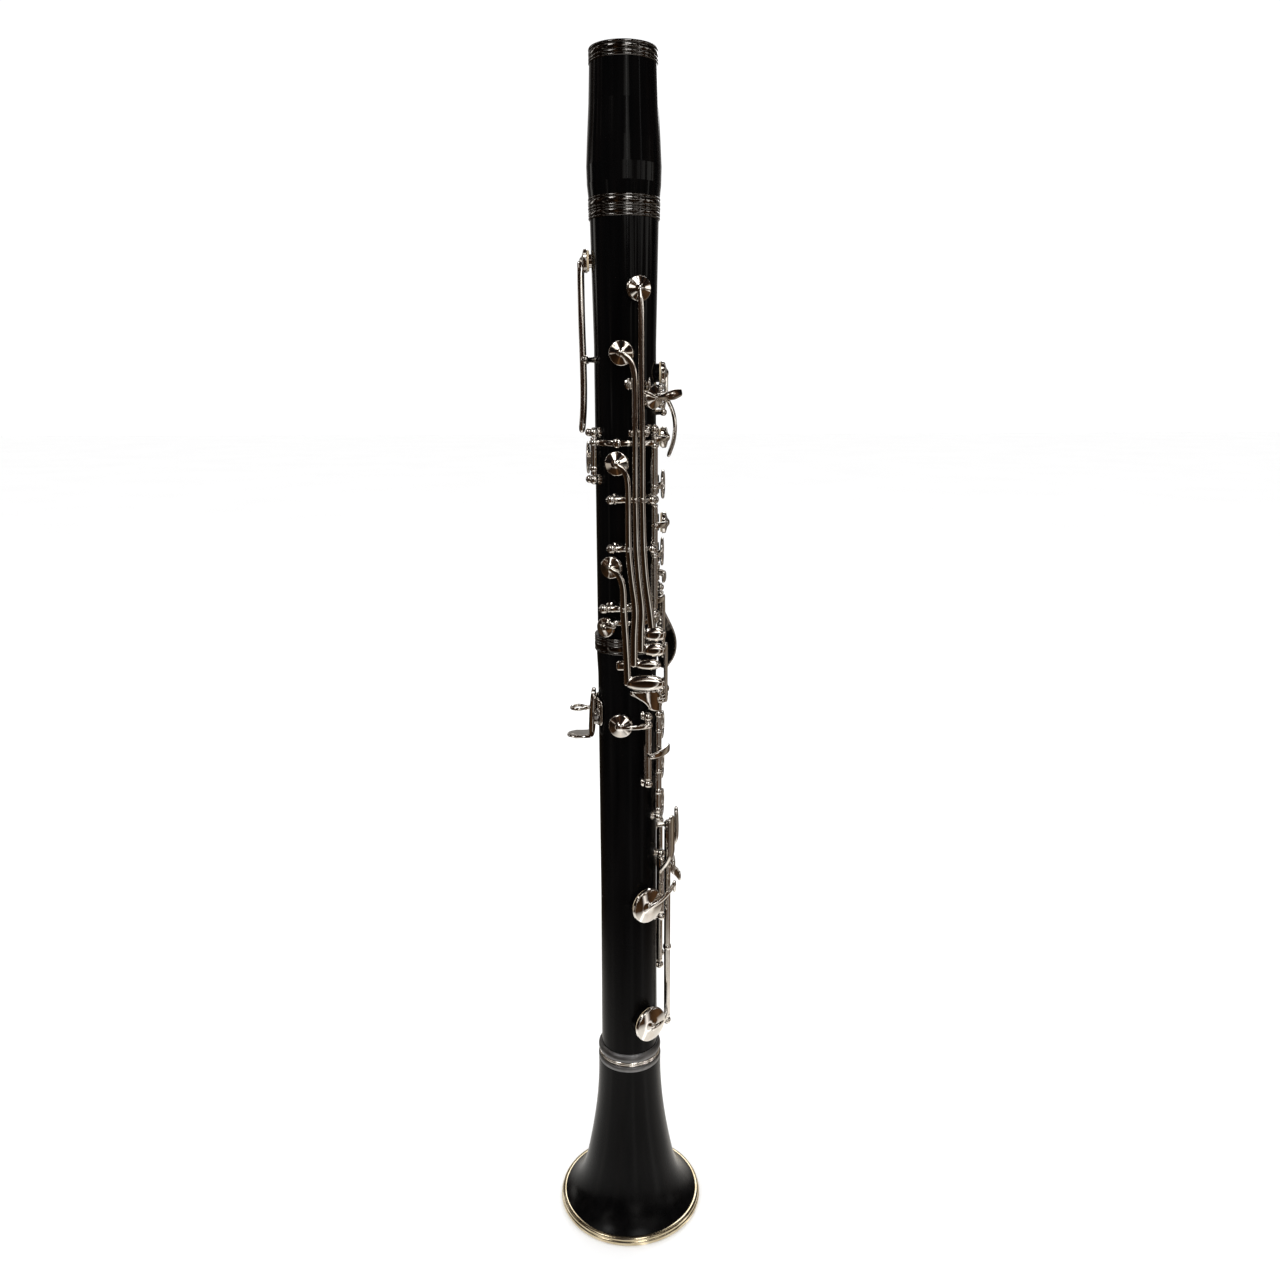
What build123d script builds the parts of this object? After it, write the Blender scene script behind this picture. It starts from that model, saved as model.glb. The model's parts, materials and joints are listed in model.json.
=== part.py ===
from build123d import *
import math
import os

os.makedirs("parts", exist_ok=True)

# Frame: millimetres, +Z up along the bore, origin at the centre of the bell rim, +X is the front of
# the clarinet (finger holes), -Y the player's right side, -X the back (thumb side).

# ---------------------------------------------------------------- driving dimensions
TOTAL_LENGTH = 594.0
RIM_RADIUS = 39.5
RIM_HEIGHT = 4.6
BELL_TOP = 100.6
BELL_RING_LOW = 91.5
BELL_RING_RADIUS = 16.9
LOWER_TOP = 332.4
MIDDLE_RING_LOW = 324.4
MIDDLE_RING_RADIUS = 15.9
UPPER_TOP = 528.3
UPPER_RING_LOW = 524.2
UPPER_RING_RADIUS = 16.1
BARREL_RING_HIGH = 533.4
BARREL_RING_RADIUS = 16.25
BARREL_CAP_LOW = 587.8
BARREL_CAP_RADIUS = 15.2
BODY_RADIUS = 14.5
LOWER_RADIUS = 14.6
BORE_RADIUS = 7.4
MOUTHPIECE_SOCKET_RADIUS = 11.1
MOUTHPIECE_SOCKET_DEPTH = 17.0
SOCKET_RADIUS = 11.6
TENON_LENGTH = 17.0
BELL_SOCKET_RADIUS = 13.0
BELL_SOCKET_FLOOR = 79.0
SEAT = 15.9
TUBE_RADIUS = 1.8
ROD_RADIUS = 0.9
ROD_CLEARANCE = 0.05
PAD_THICKNESS = 2.0
PAD_GAP = 0.05
LEVER_IN = 18.9
LEVER_THICKNESS = 1.3
LEVER_WIDTH = 2.4
AXLE_OUT = 16.9
POST_BALL = 2.1
POST_PEG = 1.35


# ---------------------------------------------------------------- helpers
def turned(points):
    """Solid of revolution about Z from an (r, z) outline."""
    return revolve(Plane.XZ * make_face(Polyline(*points, close=True)), Axis.Z)


def hoop(r_in, r_out, z0, z1):
    """Plain ring about Z."""
    ring = Cylinder(r_out, z1 - z0) - Cylinder(r_in, z1 - z0)
    return Pos(0, 0, (z0 + z1) / 2) * ring


def radial(theta, z, radius, r0, r1):
    """Cylinder pointing outward from the bore axis."""
    return Rot(0, 0, theta) * Pos((r0 + r1) / 2, 0, z) * Rot(0, 90, 0) * Cylinder(radius, r1 - r0)


def upright(x, y, z0, z1, radius):
    """Cylinder parallel to the bore."""
    return Pos(x, y, (z0 + z1) / 2) * Cylinder(radius, z1 - z0)


def crosswise(y, z, x0, x1, radius):
    """Cylinder parallel to X."""
    return Pos((x0 + x1) / 2, y, z) * Rot(0, 90, 0) * Cylinder(radius, x1 - x0)


def polar(theta, r):
    """Point of the cross-section at an angle and a distance from the bore axis."""
    angle = math.radians(theta)
    return r * math.cos(angle), r * math.sin(angle)


def arc_arm(theta0, theta1, r, thickness, z, width):
    """Curved strip running round the body between two angles."""
    low = min(theta0, theta1)
    path = CenterArc((0, 0), r, low, abs(theta1 - theta0))
    return Pos(0, 0, z - width / 2) * extrude(trace(path, thickness), width)


def strip(points, width, y_in, thickness):
    """Flat lever in a plane facing -Y, from (x, z) corners, with rounded ends."""
    outline = trace(Polyline(*points), width)
    for px, pz in points:
        outline += Pos(px, pz) * Circle(width / 2)
    return extrude(Plane((0, -y_in, 0), x_dir=(1, 0, 0), z_dir=(0, -1, 0)) * outline, thickness)


def plate_points(theta, spots, width, thickness):
    """Lever in the radial plane at an angle, from (r, z) corners, given width round the body."""
    outline = trace(Polyline(*spots), thickness)
    for pr, pz in spots:
        outline += Pos(pr, pz) * Circle(thickness / 2)
    slab = extrude(Plane.XZ * outline, width / 2, both=True)
    return Rot(0, 0, theta) * slab


def cup(theta, z, pad_radius, seat=SEAT, crown=1.4):
    """Cone-topped pad cup over a tone hole."""
    low = seat + 0.9
    high = seat + 2.5
    wall = radial(theta, z, pad_radius + 0.5, low, high)
    apex = Pos(high + crown / 2, 0, z) * Rot(0, 90, 0) * Cone(pad_radius + 0.5, 1.2, crown)
    knob = radial(theta, z, 1.2, high, high + crown + 0.3)
    return wall + Rot(0, 0, theta) * apex + knob - pad(theta, z, pad_radius, seat)


def pad(theta, z, pad_radius, seat=SEAT):
    """Round pad that closes a tone hole."""
    low = seat + PAD_GAP
    return radial(theta, z, pad_radius, low, low + PAD_THICKNESS)


def tube(theta, r, z0, z1):
    """Hinge tube on a rod parallel to the bore."""
    x, y = polar(theta, r)
    return upright(x, y, z0, z1, TUBE_RADIUS)


def tube_bore(theta, r, z0, z1):
    """Space of the rod inside a hinge tube."""
    x, y = polar(theta, r)
    return upright(x, y, z0 - 1, z1 + 1, ROD_RADIUS + ROD_CLEARANCE)


def post(theta, r, z, ball_radius=POST_BALL):
    """Ball-topped post screwed into the body."""
    x, y = polar(theta, r)
    ball = Pos(x, y, z) * Rot(0, 0, theta + 20) * Sphere(ball_radius)
    return radial(theta, z, POST_PEG, 11.6, r) + ball


def post_xy(x, y, z, ball_radius=POST_BALL):
    """Post whose ball centre is given in the cross-section."""
    return post(math.degrees(math.atan2(y, x)), math.hypot(x, y), z, ball_radius)


def finger_ring(z, theta=0.0, r0=17.2, outer=6.9, inner=5.2, thickness=1.2):
    """Flat ring round a finger hole."""
    return radial(theta, z, outer, r0, r0 + thickness) - radial(theta, z, inner, r0 - 1, r0 + thickness + 1)


def save(shape, name):
    """Write one sub-part."""
    export_step(shape, "parts/" + name + ".step")


def group(shapes):
    """Several separate solids as one part."""
    return Compound(children=list(shapes))


# ---------------------------------------------------------------- key layout
# name: (angle of the hole, height, pad radius, hole radius, seat)
TONE_HOLES = {
    "register_key": (180, 507.0, 4.6, 1.5, 16.2),
    "a_key": (0, 457.5, 5.0, 3.0, SEAT),
    "g_sharp_key": (-44, 446.4, 4.8, 2.6, SEAT),
    "side_key_4": (-68, 493.7, 5.1, 3.2, SEAT),
    "side_key_3": (-95, 466.0, 5.1, 3.2, SEAT),
    "side_key_2": (-103, 416.7, 5.1, 3.2, SEAT),
    "side_key_1": (-113.5, 367.9, 4.8, 3.0, SEAT),
    "c_sharp_key": (-124.8, 338.3, 4.3, 2.8, SEAT),
    "upper_ring_key": (-8, 428.0, 4.5, 2.8, SEAT),
    "bridge_ring_key": (0, 387.3, 4.7, 2.8, SEAT),
    "e_flat_key": (55, 371.0, 4.6, 2.8, SEAT),
    "lower_ring_key": (-3, 303.5, 4.9, 3.0, SEAT),
    "b_sliver_key": (-100.5, 289.0, 5.4, 3.4, SEAT),
    "low_f_key": (-59, 190.5, 8.6, 5.6, SEAT),
    "low_e_key": (-56, 120.7, 8.9, 6.0, 16.3),
    "a_flat_key": (62, 150.0, 8.4, 5.6, 16.2),
    "f_sharp_key": (58, 178.0, 8.0, 5.4, SEAT),
}
UPPER_KEYS = [name for name in TONE_HOLES if TONE_HOLES[name][1] > LOWER_TOP]
LOWER_KEYS = [name for name in TONE_HOLES if TONE_HOLES[name][1] < LOWER_TOP]
# open finger holes: (angle, height, hole radius, chimney radius)
UPPER_FINGERS = [(0, 405.7, 2.9, 4.4), (0, 373.1, 3.2, 4.4), (-4, 349.0, 3.4, 4.4)]
LOWER_FINGERS = [(0, 284.0, 3.6, 4.6), (0, 262.5, 3.6, 4.6), (0, 241.5, 3.8, 4.6)]
THUMB_HOLE = (180, 418.5)

cups = {}
pads = {}
for name, (theta, z, pad_radius, hole_radius, seat) in TONE_HOLES.items():
    cups[name] = cup(theta, z, pad_radius, seat)
    pads[name] = pad(theta, z, pad_radius, seat)


# ---------------------------------------------------------------- barrel
barrel = turned(
    [
        (BORE_RADIUS, 545.0),
        (BORE_RADIUS, TOTAL_LENGTH - MOUTHPIECE_SOCKET_DEPTH),
        (MOUTHPIECE_SOCKET_RADIUS, TOTAL_LENGTH - MOUTHPIECE_SOCKET_DEPTH),
        (MOUTHPIECE_SOCKET_RADIUS, TOTAL_LENGTH),
        (13.6, TOTAL_LENGTH),
        (13.6, BARREL_CAP_LOW),
        (15.0, BARREL_CAP_LOW),
        (15.5, 572.0),
        (16.4, 557.0),
        (16.9, 546.5),
        (16.7, 539.0),
        (16.1, BARREL_RING_HIGH),
        (14.6, BARREL_RING_HIGH),
        (14.6, UPPER_TOP),
        (SOCKET_RADIUS, UPPER_TOP),
        (SOCKET_RADIUS, 545.0),
    ]
)
cap_ring = hoop(13.6, BARREL_CAP_RADIUS, BARREL_CAP_LOW, TOTAL_LENGTH)
foot_ring = hoop(14.6, BARREL_RING_RADIUS, UPPER_TOP, BARREL_RING_HIGH)

# ---------------------------------------------------------------- upper joint
upper_joint = turned(
    [
        (BORE_RADIUS, 315.4),
        (BORE_RADIUS, UPPER_TOP + 16.7),
        (10.4, UPPER_TOP + 16.7),
        (SOCKET_RADIUS - 0.05, UPPER_TOP + 15.9),
        (SOCKET_RADIUS - 0.05, UPPER_TOP + 13.0),
        (10.3, UPPER_TOP + 13.0),
        (10.3, UPPER_TOP + 3.0),
        (SOCKET_RADIUS - 0.05, UPPER_TOP + 3.0),
        (SOCKET_RADIUS - 0.05, UPPER_TOP),
        (14.3, UPPER_TOP),
        (14.3, UPPER_RING_LOW),
        (15.6, UPPER_RING_LOW),
        (15.1, 500.0),
        (BODY_RADIUS, 470.0),
        (BODY_RADIUS, LOWER_TOP),
        (SOCKET_RADIUS - 0.05, LOWER_TOP),
        (SOCKET_RADIUS - 0.05, LOWER_TOP - 3.0),
        (10.3, LOWER_TOP - 3.0),
        (10.3, LOWER_TOP - 13.0),
        (SOCKET_RADIUS - 0.05, LOWER_TOP - 13.0),
        (SOCKET_RADIUS - 0.05, LOWER_TOP - 16.2),
        (10.4, 315.4),
    ]
)
upper_joint_ring = hoop(14.3, UPPER_RING_RADIUS, UPPER_RING_LOW, UPPER_TOP)

# ---------------------------------------------------------------- lower joint
lower_joint = turned(
    [
        (BORE_RADIUS, 190.0),
        (BORE_RADIUS, 315.0),
        (SOCKET_RADIUS, 315.0),
        (SOCKET_RADIUS, LOWER_TOP),
        (14.0, LOWER_TOP),
        (14.0, MIDDLE_RING_LOW),
        (15.2, MIDDLE_RING_LOW),
        (LOWER_RADIUS, 311.0),
        (LOWER_RADIUS, 190.0),
        (15.2, BELL_TOP),
        (BELL_SOCKET_RADIUS - 0.05, BELL_TOP),
        (BELL_SOCKET_RADIUS - 0.05, BELL_TOP - 3.5),
        (11.8, BELL_TOP - 3.5),
        (11.8, BELL_TOP - 15.5),
        (BELL_SOCKET_RADIUS - 0.05, BELL_TOP - 15.5),
        (BELL_SOCKET_RADIUS - 0.05, BELL_TOP - 20.0),
        (12.0, BELL_SOCKET_FLOOR + 0.4),
        (10.4, BELL_SOCKET_FLOOR + 0.4),
    ]
)
middle_socket_ring = hoop(14.0, MIDDLE_RING_RADIUS, MIDDLE_RING_LOW, LOWER_TOP)

tenon_corks = group(
    [
        hoop(10.3, SOCKET_RADIUS - 0.02, UPPER_TOP + 3.0, UPPER_TOP + 13.0),
        hoop(10.3, SOCKET_RADIUS - 0.02, LOWER_TOP - 13.0, LOWER_TOP - 3.0),
        hoop(11.8, BELL_SOCKET_RADIUS - 0.02, BELL_TOP - 15.5, BELL_TOP - 3.5),
    ]
)

# ---------------------------------------------------------------- bell
bell_outside = Spline(
    (17.05, BELL_RING_LOW), (17.5, 73.5), (19.6, 53.2), (22.9, 33.5), (28.0, 15.5), (37.0, RIM_HEIGHT)
)
bell_inside = Spline((10.5, BELL_SOCKET_FLOOR), (12.0, 62.0), (15.0, 40.0), (20.5, 20.0), (28.5, 7.0), (35.6, 0.0))
bell_profile = [
    bell_outside,
    Line((37.0, RIM_HEIGHT), (37.0, 0.0)),
    Line((37.0, 0.0), (35.6, 0.0)),
    bell_inside,
    Line((10.5, BELL_SOCKET_FLOOR), (BELL_SOCKET_RADIUS, BELL_SOCKET_FLOOR)),
    Line((BELL_SOCKET_RADIUS, BELL_SOCKET_FLOOR), (BELL_SOCKET_RADIUS, BELL_TOP)),
    Line((BELL_SOCKET_RADIUS, BELL_TOP), (15.4, BELL_TOP)),
    Line((15.4, BELL_TOP), (15.4, BELL_RING_LOW)),
    Line((15.4, BELL_RING_LOW), (17.05, BELL_RING_LOW)),
]
bell = revolve(Plane.XZ * make_face(Wire(Curve(bell_profile).edges())), Axis.Z)
bell_socket_ring = hoop(15.4, BELL_RING_RADIUS, BELL_RING_LOW, BELL_TOP)
bell_rim_ring = hoop(37.0, RIM_RADIUS, 0.0, RIM_HEIGHT)
bell_rim_ring = fillet(bell_rim_ring.edges().filter_by(GeomType.CIRCLE).group_by(SortBy.RADIUS)[-1], 1.8)

# ---------------------------------------------------------------- metal tubes in the wall
register_tube = radial(180, 507.0, 3.0, 5.2, 16.2) - radial(180, 507.0, 1.5, 4.0, 17.0)
thumb_tube = radial(180, 418.5, 4.5, 9.0, 16.7) - radial(180, 418.5, 3.4, 8.0, 18.0)
for name in UPPER_KEYS:
    theta, z, pad_radius, hole_radius, seat = TONE_HOLES[name]
    if name != "register_key":
        upper_joint += radial(theta, z, hole_radius + 1.3, 12.0, seat)
for theta, z, hole_radius, chimney in UPPER_FINGERS:
    upper_joint += radial(theta, z, chimney, 12.0, 15.9)
for name in UPPER_KEYS:
    theta, z, pad_radius, hole_radius, seat = TONE_HOLES[name]
    if name != "register_key":
        upper_joint -= radial(theta, z, hole_radius, 4.0, 18.0)
for theta, z, hole_radius, chimney in UPPER_FINGERS:
    upper_joint -= radial(theta, z, hole_radius, 4.0, 18.0)
upper_joint -= radial(180, 507.0, 3.0, 5.2, 18.0)
upper_joint -= radial(180, 418.5, 4.5, 9.0, 18.0)
upper_joint -= radial(180, 418.5, 3.4, 4.0, 18.0)
for name in LOWER_KEYS:
    theta, z, pad_radius, hole_radius, seat = TONE_HOLES[name]
    lower_joint += radial(theta, z, hole_radius + 1.5, 12.6, seat)
for theta, z, hole_radius, chimney in LOWER_FINGERS:
    lower_joint += radial(theta, z, chimney, 12.6, 15.9)
for name in LOWER_KEYS:
    theta, z, pad_radius, hole_radius, seat = TONE_HOLES[name]
    lower_joint -= radial(theta, z, hole_radius, 4.0, 18.0)
for theta, z, hole_radius, chimney in LOWER_FINGERS:
    lower_joint -= radial(theta, z, hole_radius, 4.0, 18.0)

# ---------------------------------------------------------------- hinge lines parallel to the bore
# name: (angle, distance from the bore axis, low end, high end) of each hinge tube
HINGES = {
    "thumb_ring_key": (-147, 17.5, 411.0, 428.2),
    "upper_ring_key": (-41, 17.8, 401.9, 429.7),
    "bridge_ring_key": (-41, 17.8, 347.0, 397.3),
    "g_sharp_key": (-18, 17.4, 444.6, 449.2),
    "c_sharp_key": (18, 17.5, 339.0, 352.2),
    "e_flat_key": (34, 17.8, 357.0, 365.6),
    "lower_ring_key": (-30.5, 18.0, 239.7, 302.0),
    "b_sliver_key": (-55, 18.0, 259.8, 290.6),
    "low_f_key": (-18, 17.8, 181.1, 212.9),
    "low_e_key": (3, 20.6, 114.1, 226.1),
    "a_flat_key": (22, 17.8, 145.1, 225.9),
    "f_sharp_key": (100, 17.8, 170.1, 213.9),
}
SMALL_BALLS = {"g_sharp_key": 1.5, "c_sharp_key": 1.8, "e_flat_key": 1.8}
# how far each open-standing key is swung away from its closed pose, in degrees about its hinge
OPEN_ANGLE = {
    "upper_ring_key": -5.25,
    "bridge_ring_key": -3.6,
    "lower_ring_key": -6.0,
    "low_f_key": 6.0,
    "low_e_key": 5.0,
    "f_sharp_key": 6.0,
}


def swung(shape, name):
    """Shape turned about its hinge from the closed pose to the resting pose."""
    if name not in OPEN_ANGLE:
        return shape
    x, y = polar(HINGES[name][0], HINGES[name][1])
    return Pos(x, y, 0) * Rot(0, 0, OPEN_ANGLE[name]) * Pos(-x, -y, 0) * shape


def key_arm(name, z, width=2.6, r=18.9, end=None):
    """Arm from a hinge tube round to the pad cup of the same key."""
    target = TONE_HOLES[name][0] if end is None else end
    return arc_arm(target, HINGES[name][0], r, 1.2, z, width)


keys = {}
for name, (theta, r, low, high) in HINGES.items():
    keys[name] = tube(theta, r, low, high) + cups[name] if name in cups else tube(theta, r, low, high)

# thumb ring key: ring on the back, long arm round the right side
thumb_x, thumb_y = polar(-147, 17.5)
keys["thumb_ring_key"] += finger_ring(418.5, theta=180, r0=17.3, outer=7.6, inner=5.4)
keys["thumb_ring_key"] += arc_arm(-160, -147, 17.9, 1.2, 418.5, 6.0)
keys["thumb_ring_key"] += arc_arm(-147, -72, 15.95, 1.1, 425.9, 2.8)
keys["thumb_ring_key"] += Pos(thumb_x, thumb_y, 418.0) * Cylinder(2.3, 1.4)

# upper stack, first key: index ring, upper pad, foot over the arm of the thumb key
keys["upper_ring_key"] += finger_ring(405.7, r0=16.1)
keys["upper_ring_key"] += arc_arm(-41, -21, 17.1, 1.2, 405.7, 3.4)
keys["upper_ring_key"] += key_arm("upper_ring_key", 427.6)
keys["upper_ring_key"] += arc_arm(-76, -41, 18.35, 1.0, 425.9, 2.6)
keys["upper_ring_key"] += tube(-41, 17.8, 423.4, 425.0) + Pos(*polar(-41, 17.8), 424.6) * Cylinder(2.2, 1.6)

# upper stack, second key: middle ring, small pad, lever over the joint
keys["bridge_ring_key"] += finger_ring(373.1, r0=16.1)
keys["bridge_ring_key"] += arc_arm(-41, -21, 17.1, 1.2, 373.1, 3.4)
keys["bridge_ring_key"] += key_arm("bridge_ring_key", 387.3)
keys["bridge_ring_key"] += arc_arm(-41, -19, 18.7, 1.2, 351.0, 3.2)
keys["bridge_ring_key"] += plate_points(-20, [(18.7, 351.0), (18.7, 322.4)], 3.2, 1.2)

# throat G sharp key
keys["g_sharp_key"] += key_arm("g_sharp_key", 447.0)
blade = trace(Polyline((16.6, -5.4), (21.9, -2.7), (26.2, 2.8)), 1.3)
keys["g_sharp_key"] += Pos(0, 0, 445.4) * extrude(blade, 3.6)

# C sharp key: arm under the side levers, teardrop touch on the left
keys["c_sharp_key"] += arc_arm(-107, 18, 15.9, 1.1, 340.6, 2.4)
keys["c_sharp_key"] += arc_arm(-125, -106, 18.9, 1.2, 340.2, 2.6)
keys["c_sharp_key"] += Rot(0, 0, -107) * Pos(17.4, 0, 340.4) * Box(4.1, 1.6, 2.4)
keys["c_sharp_key"] += arc_arm(18, 33, 18.6, 1.4, 343.0, 4.0)
touch_corners = [(16.4, 344.5), (21.0, 334.0), (22.7, 326.0), (22.5, 318.0), (21.4, 313.0)]
keys["c_sharp_key"] += Rot(0, 0, 60) * Pos(0, -9.7, 0) * plate_points(0, touch_corners, 10.0, 1.4)

# left-hand E flat sliver
keys["e_flat_key"] += arc_arm(-18, 34, 18.9, 1.2, 361.0, 3.0)
keys["e_flat_key"] += arc_arm(34, 56, 18.9, 1.2, 363.8, 2.6)
keys["e_flat_key"] += plate_points(55, [(18.9, 363.8), (18.9, 371.0)], 2.6, 1.2)

# lower stack: three rings, pad, lug under the lever of the upper stack, side wing
for z in (284.0, 262.5, 241.5):
    keys["lower_ring_key"] += finger_ring(z, r0=16.1, outer=7.2, inner=5.4)
    keys["lower_ring_key"] += arc_arm(-30.5, -20, 17.3, 1.2, z, 3.6)
for z in (288.4 + 4.2, 251.5):
    keys["lower_ring_key"] += Pos(*polar(-30.5, 18.0), z) * Sphere(2.1)
keys["lower_ring_key"] += arc_arm(-30.5, -3, 18.9, 1.2, 300.6, 2.6)
keys["lower_ring_key"] += arc_arm(-30.5, -19, 20.2, 1.2, 300.2, 3.4)
keys["lower_ring_key"] += Rot(0, 0, -30.5) * Pos(19.4, 0, 300.2) * Box(2.8, 2.4, 3.4)
keys["lower_ring_key"] += plate_points(-20, [(20.2, 300.0), (20.2, 327.0)], 3.2, 1.2)
keys["lower_ring_key"] += arc_arm(-50, -30.5, 18.9, 1.2, 298.6, 6.4)
keys["lower_ring_key"] += arc_arm(-68, -49, 18.9, 1.2, 303.4, 5.4)
keys["lower_ring_key"] += arc_arm(-80, -67, 18.9, 1.2, 305.0, 2.6)

# right-hand sliver on the side
keys["b_sliver_key"] += arc_arm(-100.5, -55, 18.9, 1.2, 288.6, 2.4)
keys["b_sliver_key"] += arc_arm(-55, -14, 21.4, 1.2, 273.2, 3.0)
keys["b_sliver_key"] += Rot(0, 0, -55) * Pos(20.2, 0, 273.2) * Box(3.4, 2.2, 3.0)

# little-finger keys of the right hand
keys["low_f_key"] += key_arm("low_f_key", 190.5, 3.0)
keys["low_f_key"] += plate_points(-27, [(18.6, 207.0), (21.6, 211.0), (24.6, 216.0), (24.4, 236.0)], 7.0, 1.4)
keys["low_f_key"] += arc_arm(-28, -18, 18.6, 1.4, 207.0, 3.4)
keys["low_e_key"] += key_arm("low_e_key", 119.0, 3.0, 19.9)
keys["low_e_key"] += arc_arm(-9, 3, 21.4, 1.4, 218.0, 3.6)
keys["low_e_key"] += plate_points(-8, [(21.6, 218.0), (25.2, 222.0), (25.4, 230.0), (25.0, 237.0)], 7.0, 1.4)
keys["low_e_key"] += Pos(*polar(3, 20.6), 157.0) * Sphere(2.2)
keys["a_flat_key"] += key_arm("a_flat_key", 150.0, 3.0, 19.1)
keys["a_flat_key"] += arc_arm(-12, 22, 24.1, 1.2, 206.6, 8.0)
keys["a_flat_key"] += Rot(0, 0, 22) * Pos(21.6, 0, 206.6) * Box(6.0, 2.2, 5.0)
keys["f_sharp_key"] += key_arm("f_sharp_key", 178.0, 3.0)
keys["f_sharp_key"] += arc_arm(8, 100, 26.2, 1.2, 196.0, 5.0)
keys["f_sharp_key"] += Rot(0, 0, 100) * Pos(22.4, 0, 196.0) * Box(8.4, 2.2, 4.0)

for name, (theta, r, low, high) in HINGES.items():
    if name in pads:
        keys[name] -= pads[name]
    keys[name] = swung(keys[name], name) - tube_bore(theta, r, low, high)
    if name in pads:
        pads[name] = swung(pads[name], name)

# ---------------------------------------------------------------- keys on cross pivots
# name: (angle, distance of the pivot, height of the pivot, half length of the tube, half post spacing)
ROCKERS = {
    "register_key": (180, 18.4, 463.4, 2.9, 5.1),
    "a_key": (0, 17.8, 439.5, 2.4, 4.2),
    "left_lever_e": (66, 17.8, 262.0, 2.2, 4.3),
    "left_lever_f_sharp": (114, 17.8, 262.0, 2.2, 4.3),
}
ROCKER_BALL = 1.6


def rocker_tube(theta, r, z, half, radius):
    """Cylinder across the lever at the pivot."""
    return Rot(0, 0, theta) * Pos(r, 0, z) * Rot(90, 0, 0) * Cylinder(radius, 2 * half)


keys["register_key"] = cups["register_key"] + plate_points(
    180, [(19.8, 505.0), (19.6, 480.0), (19.4, 463.4), (19.2, 446.0), (20.0, 432.5)], 4.2, 2.2
)
keys["a_key"] = cups["a_key"] + plate_points(
    0, [(19.0, 456.0), (19.0, 446.5), (22.6, 440.5), (24.0, 433.5), (23.2, 426.0), (21.4, 421.0)], 3.4, 1.3
)
keys["a_key"] += plate_points(0, [(19.0, 446.5), (17.9, 440.5)], 3.4, 1.3)
keys["left_lever_e"] = plate_points(66, [(20.6, 304.0), (19.2, 290.0), (19.0, 262.0), (19.0, 236.0)], 3.2, 1.3)
keys["left_lever_e"] += plate_points(66, [(20.6, 304.0), (20.9, 317.0)], 8.4, 1.3)
keys["left_lever_f_sharp"] = plate_points(114, [(20.6, 298.0), (19.2, 286.0), (19.0, 262.0), (19.0, 236.0)], 3.2, 1.3)
keys["left_lever_f_sharp"] += plate_points(114, [(20.6, 298.0), (20.9, 311.0)], 8.4, 1.3)
for name, (theta, r, z, half, spacing) in ROCKERS.items():
    keys[name] += rocker_tube(theta, r, z, half, TUBE_RADIUS)
    keys[name] -= rocker_tube(theta, r, z, half + 1, ROD_RADIUS + ROD_CLEARANCE)

# ---------------------------------------------------------------- side trill keys
# name: (lever corners x and z, pivot height, tube from, tube to)
SIDE_LEVERS = {
    "side_key_4": ([(7.0, 493.0), (7.5, 486.0), (7.5, 450.0), (7.9, 430.0), (7.9, 400.0), (8.2, 377.0),
                    (9.3, 362.0), (11.2, 348.0), (12.4, 337.0)], 400.0, 6.3, 9.2),
    "side_key_3": ([(-1.6, 466.0), (2.6, 463.5), (4.3, 458.0), (4.6, 450.0), (4.6, 400.0), (4.9, 377.0),
                    (6.0, 362.0), (7.6, 348.0), (7.0, 338.0), (7.0, 328.4)], 400.0, -4.2, 6.0),
    "side_key_2": ([(-4.3, 416.7), (-0.6, 414.0), (1.2, 409.0), (1.2, 377.0), (2.6, 362.0), (4.5, 348.0),
                    (3.6, 335.0), (3.6, 321.4)], 377.0, -4.2, 2.6),
    "side_key_1": ([(-7.6, 367.9), (-3.2, 365.0), (-1.3, 359.0), (-1.3, 348.0), (-0.5, 335.0), (0.2, 320.0),
                    (0.4, 312.0)], 348.0, -7.7, -0.2),
}
# name: (centre x, centre z, length, height) of the finger touch
SIDE_TOUCHES = {
    "side_key_4": (13.7, 336.0, 10.4, 6.6),
    "side_key_3": (13.4, 328.2, 10.8, 5.8),
    "side_key_2": (10.4, 321.0, 12.4, 5.4),
    "side_key_1": (9.0, 311.8, 19.0, 8.0),
}
# (x of the ball, height, ball radius) of the posts that carry the cross rods
SIDE_POSTS = [
    (-10.6, 348.0, 2.1), (1.65, 348.0, 1.35), (-6.6, 377.0, 2.1), (12.4, 377.0, 1.9),
    (-6.6, 400.0, 2.1), (12.4, 400.0, 1.9),
]
SIDE_RODS = [(348.0, -13.2, 3.1), (377.0, -9.2, 14.8), (400.0, -9.2, 14.8)]
side_plane = Plane((0, -LEVER_IN, 0), x_dir=(1, 0, 0), z_dir=(0, -1, 0))
for name, (corners, pivot, tube_from, tube_to) in SIDE_LEVERS.items():
    theta, z, pad_radius, hole_radius, seat = TONE_HOLES[name]
    key = strip(corners, LEVER_WIDTH, LEVER_IN, LEVER_THICKNESS)
    key += cups[name] + radial(theta, z, 1.3, 18.4, 20.6)
    cx, cz, length, height = SIDE_TOUCHES[name]
    key += extrude(side_plane * Pos(cx, cz) * SlotOverall(length, height), 2.0)
    lever_x = [px for px, pz in corners if pz == pivot][0]
    key += crosswise(-AXLE_OUT, pivot, tube_from, tube_to, TUBE_RADIUS)
    key += Pos(lever_x, -18.2, pivot) * Box(2.4, 2.6, 3.2)
    key -= crosswise(-AXLE_OUT, pivot, tube_from - 1, tube_to + 1, ROD_RADIUS + ROD_CLEARANCE)
    keys[name] = key
keys["side_key_1"] += extrude(side_plane * Pos(-2.1, 320.4) * SlotOverall(6.0, 5.0), LEVER_THICKNESS)

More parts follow.
